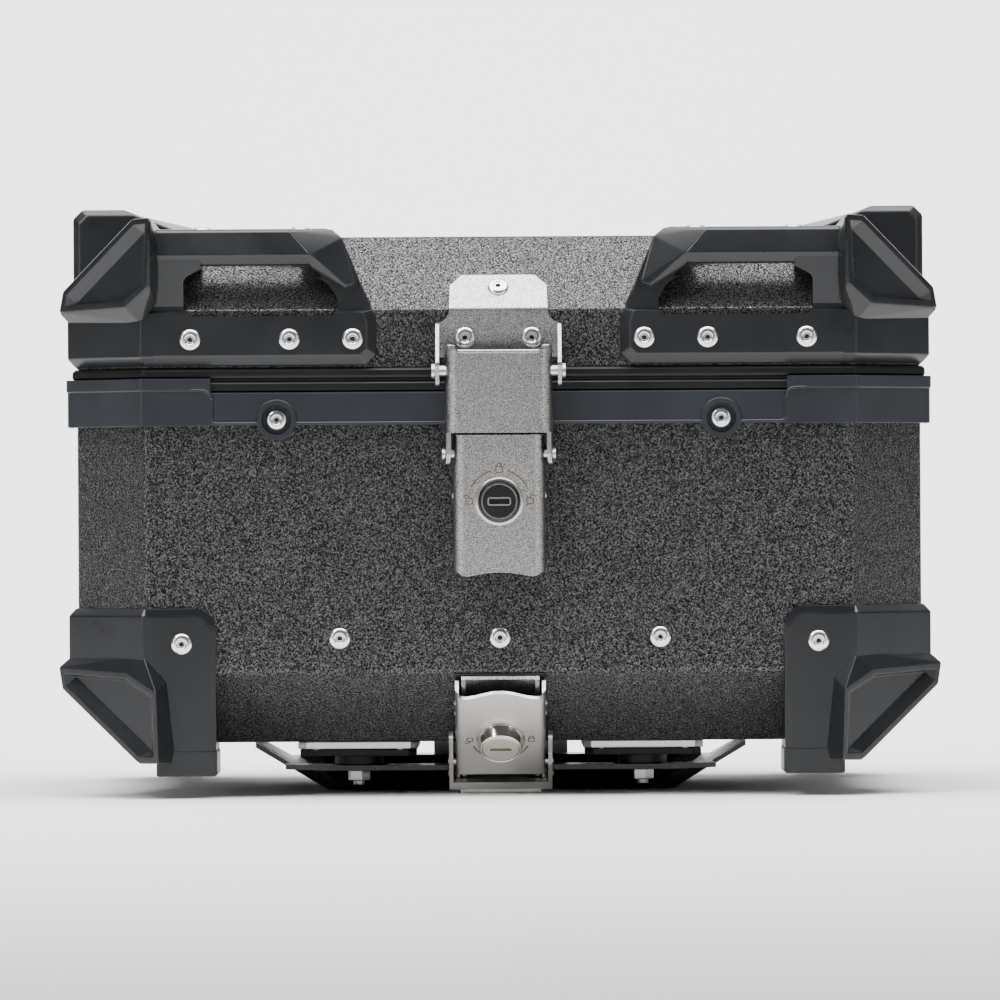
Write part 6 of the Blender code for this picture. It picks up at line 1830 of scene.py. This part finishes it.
        centre = (0.0, -self.lock_down)
        pieces = [sign.padlock((-self.mark_out, -self.lock_down), put, turn=180, opened=1.2 * MM),
                  sign.padlock((self.mark_out, -self.lock_down), put, turn=0),
                  sign.sweep(centre, self.arc, 200, 229, put), sign.sweep(centre, self.arc, -20, -49, put)]
        Forge.publish(Forge.join(*pieces), "base_lever_marks", Body.LEVER, ETCHED, flat=True)


@dataclass
class Underside:
    """Base plate, damped mounts, rear hook and the hinge."""

    edge: float = 0.5 * MM

    def build(self) -> None:
        """Dress the plate, the mounts, the hook and the hinge."""
        for _, end in ENDS:
            for _, side in SIDES:
                for part, finish in (("damper_pad", PAD), ("damper_block", RUBBER), ("mount_stud", ZINC)):
                    Forge.dress(f"{part}_{end}_{side}", "dressed", Body.CASE, finish, self.edge)
        for node, body, finish in (("base_plate", Body.CASE, PLATE), ("rear_hook", Body.CASE, ZINC),
                                   ("hinge_leaf_body", Body.CASE, ZINC), ("hinge_pin", Body.CASE, ZINC),
                                   ("hinge_leaf_lid", Body.LID, ZINC)):
            Forge.dress(node, "dressed", body, finish, self.edge)


@dataclass
class RivetPlan:
    """Where the rivets and pin heads sit, worked out from the CAD solids."""

    head: float = 2.45 * MM
    rim_sink: float = 3.2 * MM
    guard_out: float = 4.5 * MM
    flange_row: tuple[float, ...] = (151.4 * MM, 102.7 * MM, 71.6 * MM)
    flange_up: float = 13.7 * MM
    roof_row: tuple[float, ...] = (147 * MM, 98 * MM)
    lower_up: float = 49.7 * MM
    leaf_row: tuple[float, ...] = (-105 * MM, -52 * MM, 0.0, 52 * MM, 105 * MM)
    hasp_top: Point = (13.3 * MM, 2.35 * MM)
    roof_seat: Point = (41 * MM, 3.8 * MM)
    rear_guard: float = 163 * MM
    rear_seam: tuple[float, ...] = (-78.8 * MM, 0.0, 78.8 * MM)
    rear_seam_up: float = 52 * MM
    cover_pin: Point = (9 * MM, 3 * MM)
    cover_pin_size: float = 0.4
    lever_pins: tuple[Point, ...] = ((14.0, 8.0), (24.0, 6.0))
    lever_pin_size: float = 0.32
    claw_pins: tuple[Point, ...] = ((60.0, 7.0), (71.0, 6.0))
    claw_pin_size: float = 0.38
    pad_inset: Point = (9 * MM, 1.9 * MM)
    pad_size: float = 0.42

    def build(self) -> None:
        """Plan and set the rivets, their mandrels and the pin heads."""
        heads = RivetField("rivets", RivetField.BLIND, ALUMINIUM)
        mandrels = RivetField("rivet_mandrels", RivetField.MANDREL, MANDREL)
        for body, seat, axis, node in self.blind():
            heads.add(body, seat, axis, 1.0, node)
            mandrels.add(body, seat, axis)
        domes = RivetField("pin_heads", RivetField.DOME, SMOOTH_STEEL)
        for body, seat, axis, size in self.domes():
            domes.add(body, seat, axis, size)
        for field in (heads, mandrels, domes):
            field.build()

    def blind(self) -> list[tuple[Body, Vector, Vector, str | None]]:
        """Blind rivets as body, seat, axis and the CAD rivet that each stands for."""
        plan = []
        for name in ("seam_rivet_left", "seam_rivet_middle", "seam_rivet_right", "guard_rivet_left",
                     "guard_rivet_right"):
            plan.append((Body.CASE, self.seat_of(name), FRONT, name))
        for name in ("rim_rivet_left", "rim_rivet_right"):
            plan.append((Body.CASE, self.seat_of(name) - FRONT * self.rim_sink, FRONT, name))
        for name in ("hasp_rivet_left", "hasp_rivet_right"):
            plan.append((Body.LID, self.seat_of(name), FRONT, name))
        top = FORM.on_lid_slope(0, *self.hasp_top)
        plan.append((Body.LID, top, FORM.lid_slope_out, "hasp_rivet_top"))
        row = FORM.lid_low + self.flange_up
        low_row = FORM.body_low + self.lower_up
        back, up = self.roof_seat
        for side, _ in SIDES:
            plan += [(Body.LID, FORM.on_front(side * a, self.guard_out, row), FRONT, None)
                     for a in self.flange_row]
            plan += [(Body.LID, Vector((side * a, -FORM.half_d + back, FORM.lid_high + up)), UP, None)
                     for a in self.roof_row]
            seat = Vector((side * self.rear_guard, FORM.half_d + self.guard_out, low_row))
            plan.append((Body.CASE, seat, REAR, None))
        plan += [(Body.CASE, Vector((x, FORM.half_d, FORM.body_low + self.rear_seam_up)), REAR, None)
                 for x in self.rear_seam]
        for node, body, rise in (("hinge_leaf_body", Body.CASE, 0.22), ("hinge_leaf_lid", Body.LID, 0.72)):
            low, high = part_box(node)
            z = low.z + (high.z - low.z) * rise
            plan += [(body, Vector((x, self.outer(node, z), z)), REAR, None) for x in self.leaf_row]
        return plan

    def domes(self) -> list[tuple[Body, Vector, Vector, float]]:
        """Small domed pin heads as body, seat, axis and size."""
        plan = []
        lock = Hasp.middle("lock_plug")
        cover_low, cover_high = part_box("lock_cover")
        back, up = self.cover_pin
        slope_pins = ((Body.LEVER, BaseLock.half, self.lever_pins, self.lever_pin_size),
                      (Body.CLAW, BaseLock.claw_half[1], self.claw_pins, self.claw_pin_size))
        for side, _ in SIDES:
            out = ALONG * side
            seat = Vector((side * cover_high.x, cover_low.y + back, lock.z + up))
            plan.append((Body.COVER, seat, out, self.cover_pin_size))
            for body, wide, pins, size in slope_pins:
                plan += [(body, FORM.on_slope(side * wide, down * MM, level * MM), out, size)
                         for down, level in pins]
        across, along = self.pad_inset
        for _, end in ENDS:
            for _, side in SIDES:
                low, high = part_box(f"damper_pad_{end}_{side}")
                for x in (low.x + across, high.x - across):
                    for y in (low.y + along, high.y - along):
                        plan.append((Body.CASE, Vector((x, y, low.z)), DOWN, self.pad_size))
        return plan

    def seat_of(self, name: str) -> Vector:
        """Point under the head of a CAD rivet that faces the front."""
        low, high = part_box(name)
        middle = (low + high) / 2
        return Vector((middle.x, low.y + self.head, middle.z))

    @staticmethod
    def outer(node: str, z: float) -> float:
        """How far back a hinge leaf's plate reaches, on the side of its knuckles where a height lies."""
        low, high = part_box(node)
        end = low.z if z < (low.z + high.z) / 2 else high.z
        return max(vert.co.y for vert in frame["nodes"][node].data.vertices if abs(vert.co.z - end) < MM)


@dataclass
class Studio:
    """Pale floor, soft lights and the camera of the photograph."""

    camera_far: float = 4.161
    camera_up: float = 0.1458
    camera_right: float = 0.34 * MM
    lens: float = 293.0
    sensor: float = 36.0
    sight: float = 60.0
    roll: float = 0.33
    floor_colour: float = 0.93
    floor_roughness: float = 0.9
    floor_specular: float = 0.1
    floor_run: Point = (-8.0, 2.0)
    floor_half: float = 9.0
    bend: float = 2.0
    bend_steps: int = 12
    backdrop_high: float = 9.0
    surround: float = 0.1

    def build(self) -> None:
        """Set floor, lights and camera."""
        self.floor()
        self.lights()
        data = bpy.data.cameras.new("photo_camera")
        data.lens = self.lens
        data.sensor_width = self.sensor
        data.clip_end = self.sight
        camera = bpy.data.objects.new("photo_camera", data)
        camera.location = (self.camera_right, -self.camera_far, self.camera_up)
        camera.rotation_euler = (math.pi / 2, math.radians(self.roll), 0.0)
        bpy.context.scene.collection.objects.link(camera)
        bpy.context.scene.camera = camera

    def floor(self) -> None:
        """Floor that sweeps up into a backdrop, which lets a camera behind it look through."""
        build = bmesh.new()
        bend, steps = self.bend, self.bend_steps
        near, far = self.floor_run
        profile = [(near, 0.0), (far, 0.0)]
        profile += [(far + bend * math.sin(t), bend - bend * math.cos(t))
                    for t in (math.pi / 2 * k / steps for k in range(1, steps + 1))]
        profile.append((far + bend, self.backdrop_high))
        rows = [[build.verts.new((x, y, z)) for x in (-self.floor_half, self.floor_half)] for y, z in profile]
        for low, high in zip(rows, rows[1:]):
            build.faces.new((low[0], low[1], high[1], high[0]))
        mesh = bpy.data.meshes.new("floor")
        build.to_mesh(mesh)
        build.free()
        material = bpy.data.materials.new("floor_paper")
        material.use_nodes = True
        shader = material.node_tree.nodes["Principled BSDF"]
        shader.inputs["Base Color"].default_value = (*(self.floor_colour,) * 3, 1.0)
        shader.inputs["Roughness"].default_value = self.floor_roughness
        shader.inputs["Specular IOR Level"].default_value = self.floor_specular
        wiring = Wiring(material.node_tree)
        behind = wiring.add("ShaderNodeNewGeometry").outputs["Backfacing"]
        wiring.feed(shader.inputs["Alpha"], wiring.math("SUBTRACT", 1.0, behind))
        mesh.materials.append(material)
        mesh.polygons.foreach_set("use_smooth", [True] * len(mesh.polygons))
        floor = bpy.data.objects.new("floor", mesh)
        bpy.context.scene.collection.objects.link(floor)

    def lights(self) -> None:
        """Soft boxes over, beside and behind the case, and a grey surround."""
        world = bpy.data.worlds.new("studio")
        world.use_nodes = True
        background = world.node_tree.nodes["Background"]
        background.inputs["Color"].default_value = (1.0, 1.0, 1.0, 1.0)
        background.inputs["Strength"].default_value = self.surround
        bpy.context.scene.world = world
        middle = (0.0, 0.0, 0.15)
        self.soft_box("top_box", (0.0, -0.2, 1.75), middle, (2.4, 1.6), 112.0)
        self.soft_box("key_box", (-1.3, -1.5, 1.7), middle, (0.3, 0.3), 18.0)
        self.soft_box("left_strip", (-1.75, -1.9, 0.5), middle, (0.25, 1.6), 8.0)
        self.soft_box("right_strip", (1.75, -1.9, 0.5), middle, (0.25, 1.6), 6.0)
        self.soft_box("backdrop_box", (0.0, 1.4, 2.6), (0.0, 4.0, 0.9), (4.0, 1.2), 300.0)

    @staticmethod
    def soft_box(name: str, place: Sequence[float], aim: Sequence[float], size: Point,
                 power: float) -> None:
        """Area light that faces a point.

        Args:
            name: Name of the light.
            place: Where it stands.
            aim: What it faces.
            size: Its width and height.
            power: Its power in watts.
        """
        data = bpy.data.lights.new(name, "AREA")
        data.shape = "RECTANGLE"
        data.size, data.size_y = size
        data.energy = power
        light = bpy.data.objects.new(name, data)
        light.location = place
        light.rotation_euler = (Vector(aim) - Vector(place)).to_track_quat("-Z", "Y").to_euler()
        bpy.context.scene.collection.objects.link(light)


def main() -> None:
    """Build the dressed top case."""
    logging.basicConfig(level=logging.INFO, format="%(name)s: %(message)s")
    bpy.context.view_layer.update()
    for part in (Shells(), Mouth(), LowerGuards(), HandleGuards(), RearGuards(), Hasp(), LockCover(),
                 BaseLock(), Underside(), RivetPlan(), Studio()):
        LOG.info("building %s", type(part).__name__)
        part.build()


if __name__ == "__main__":
    main()
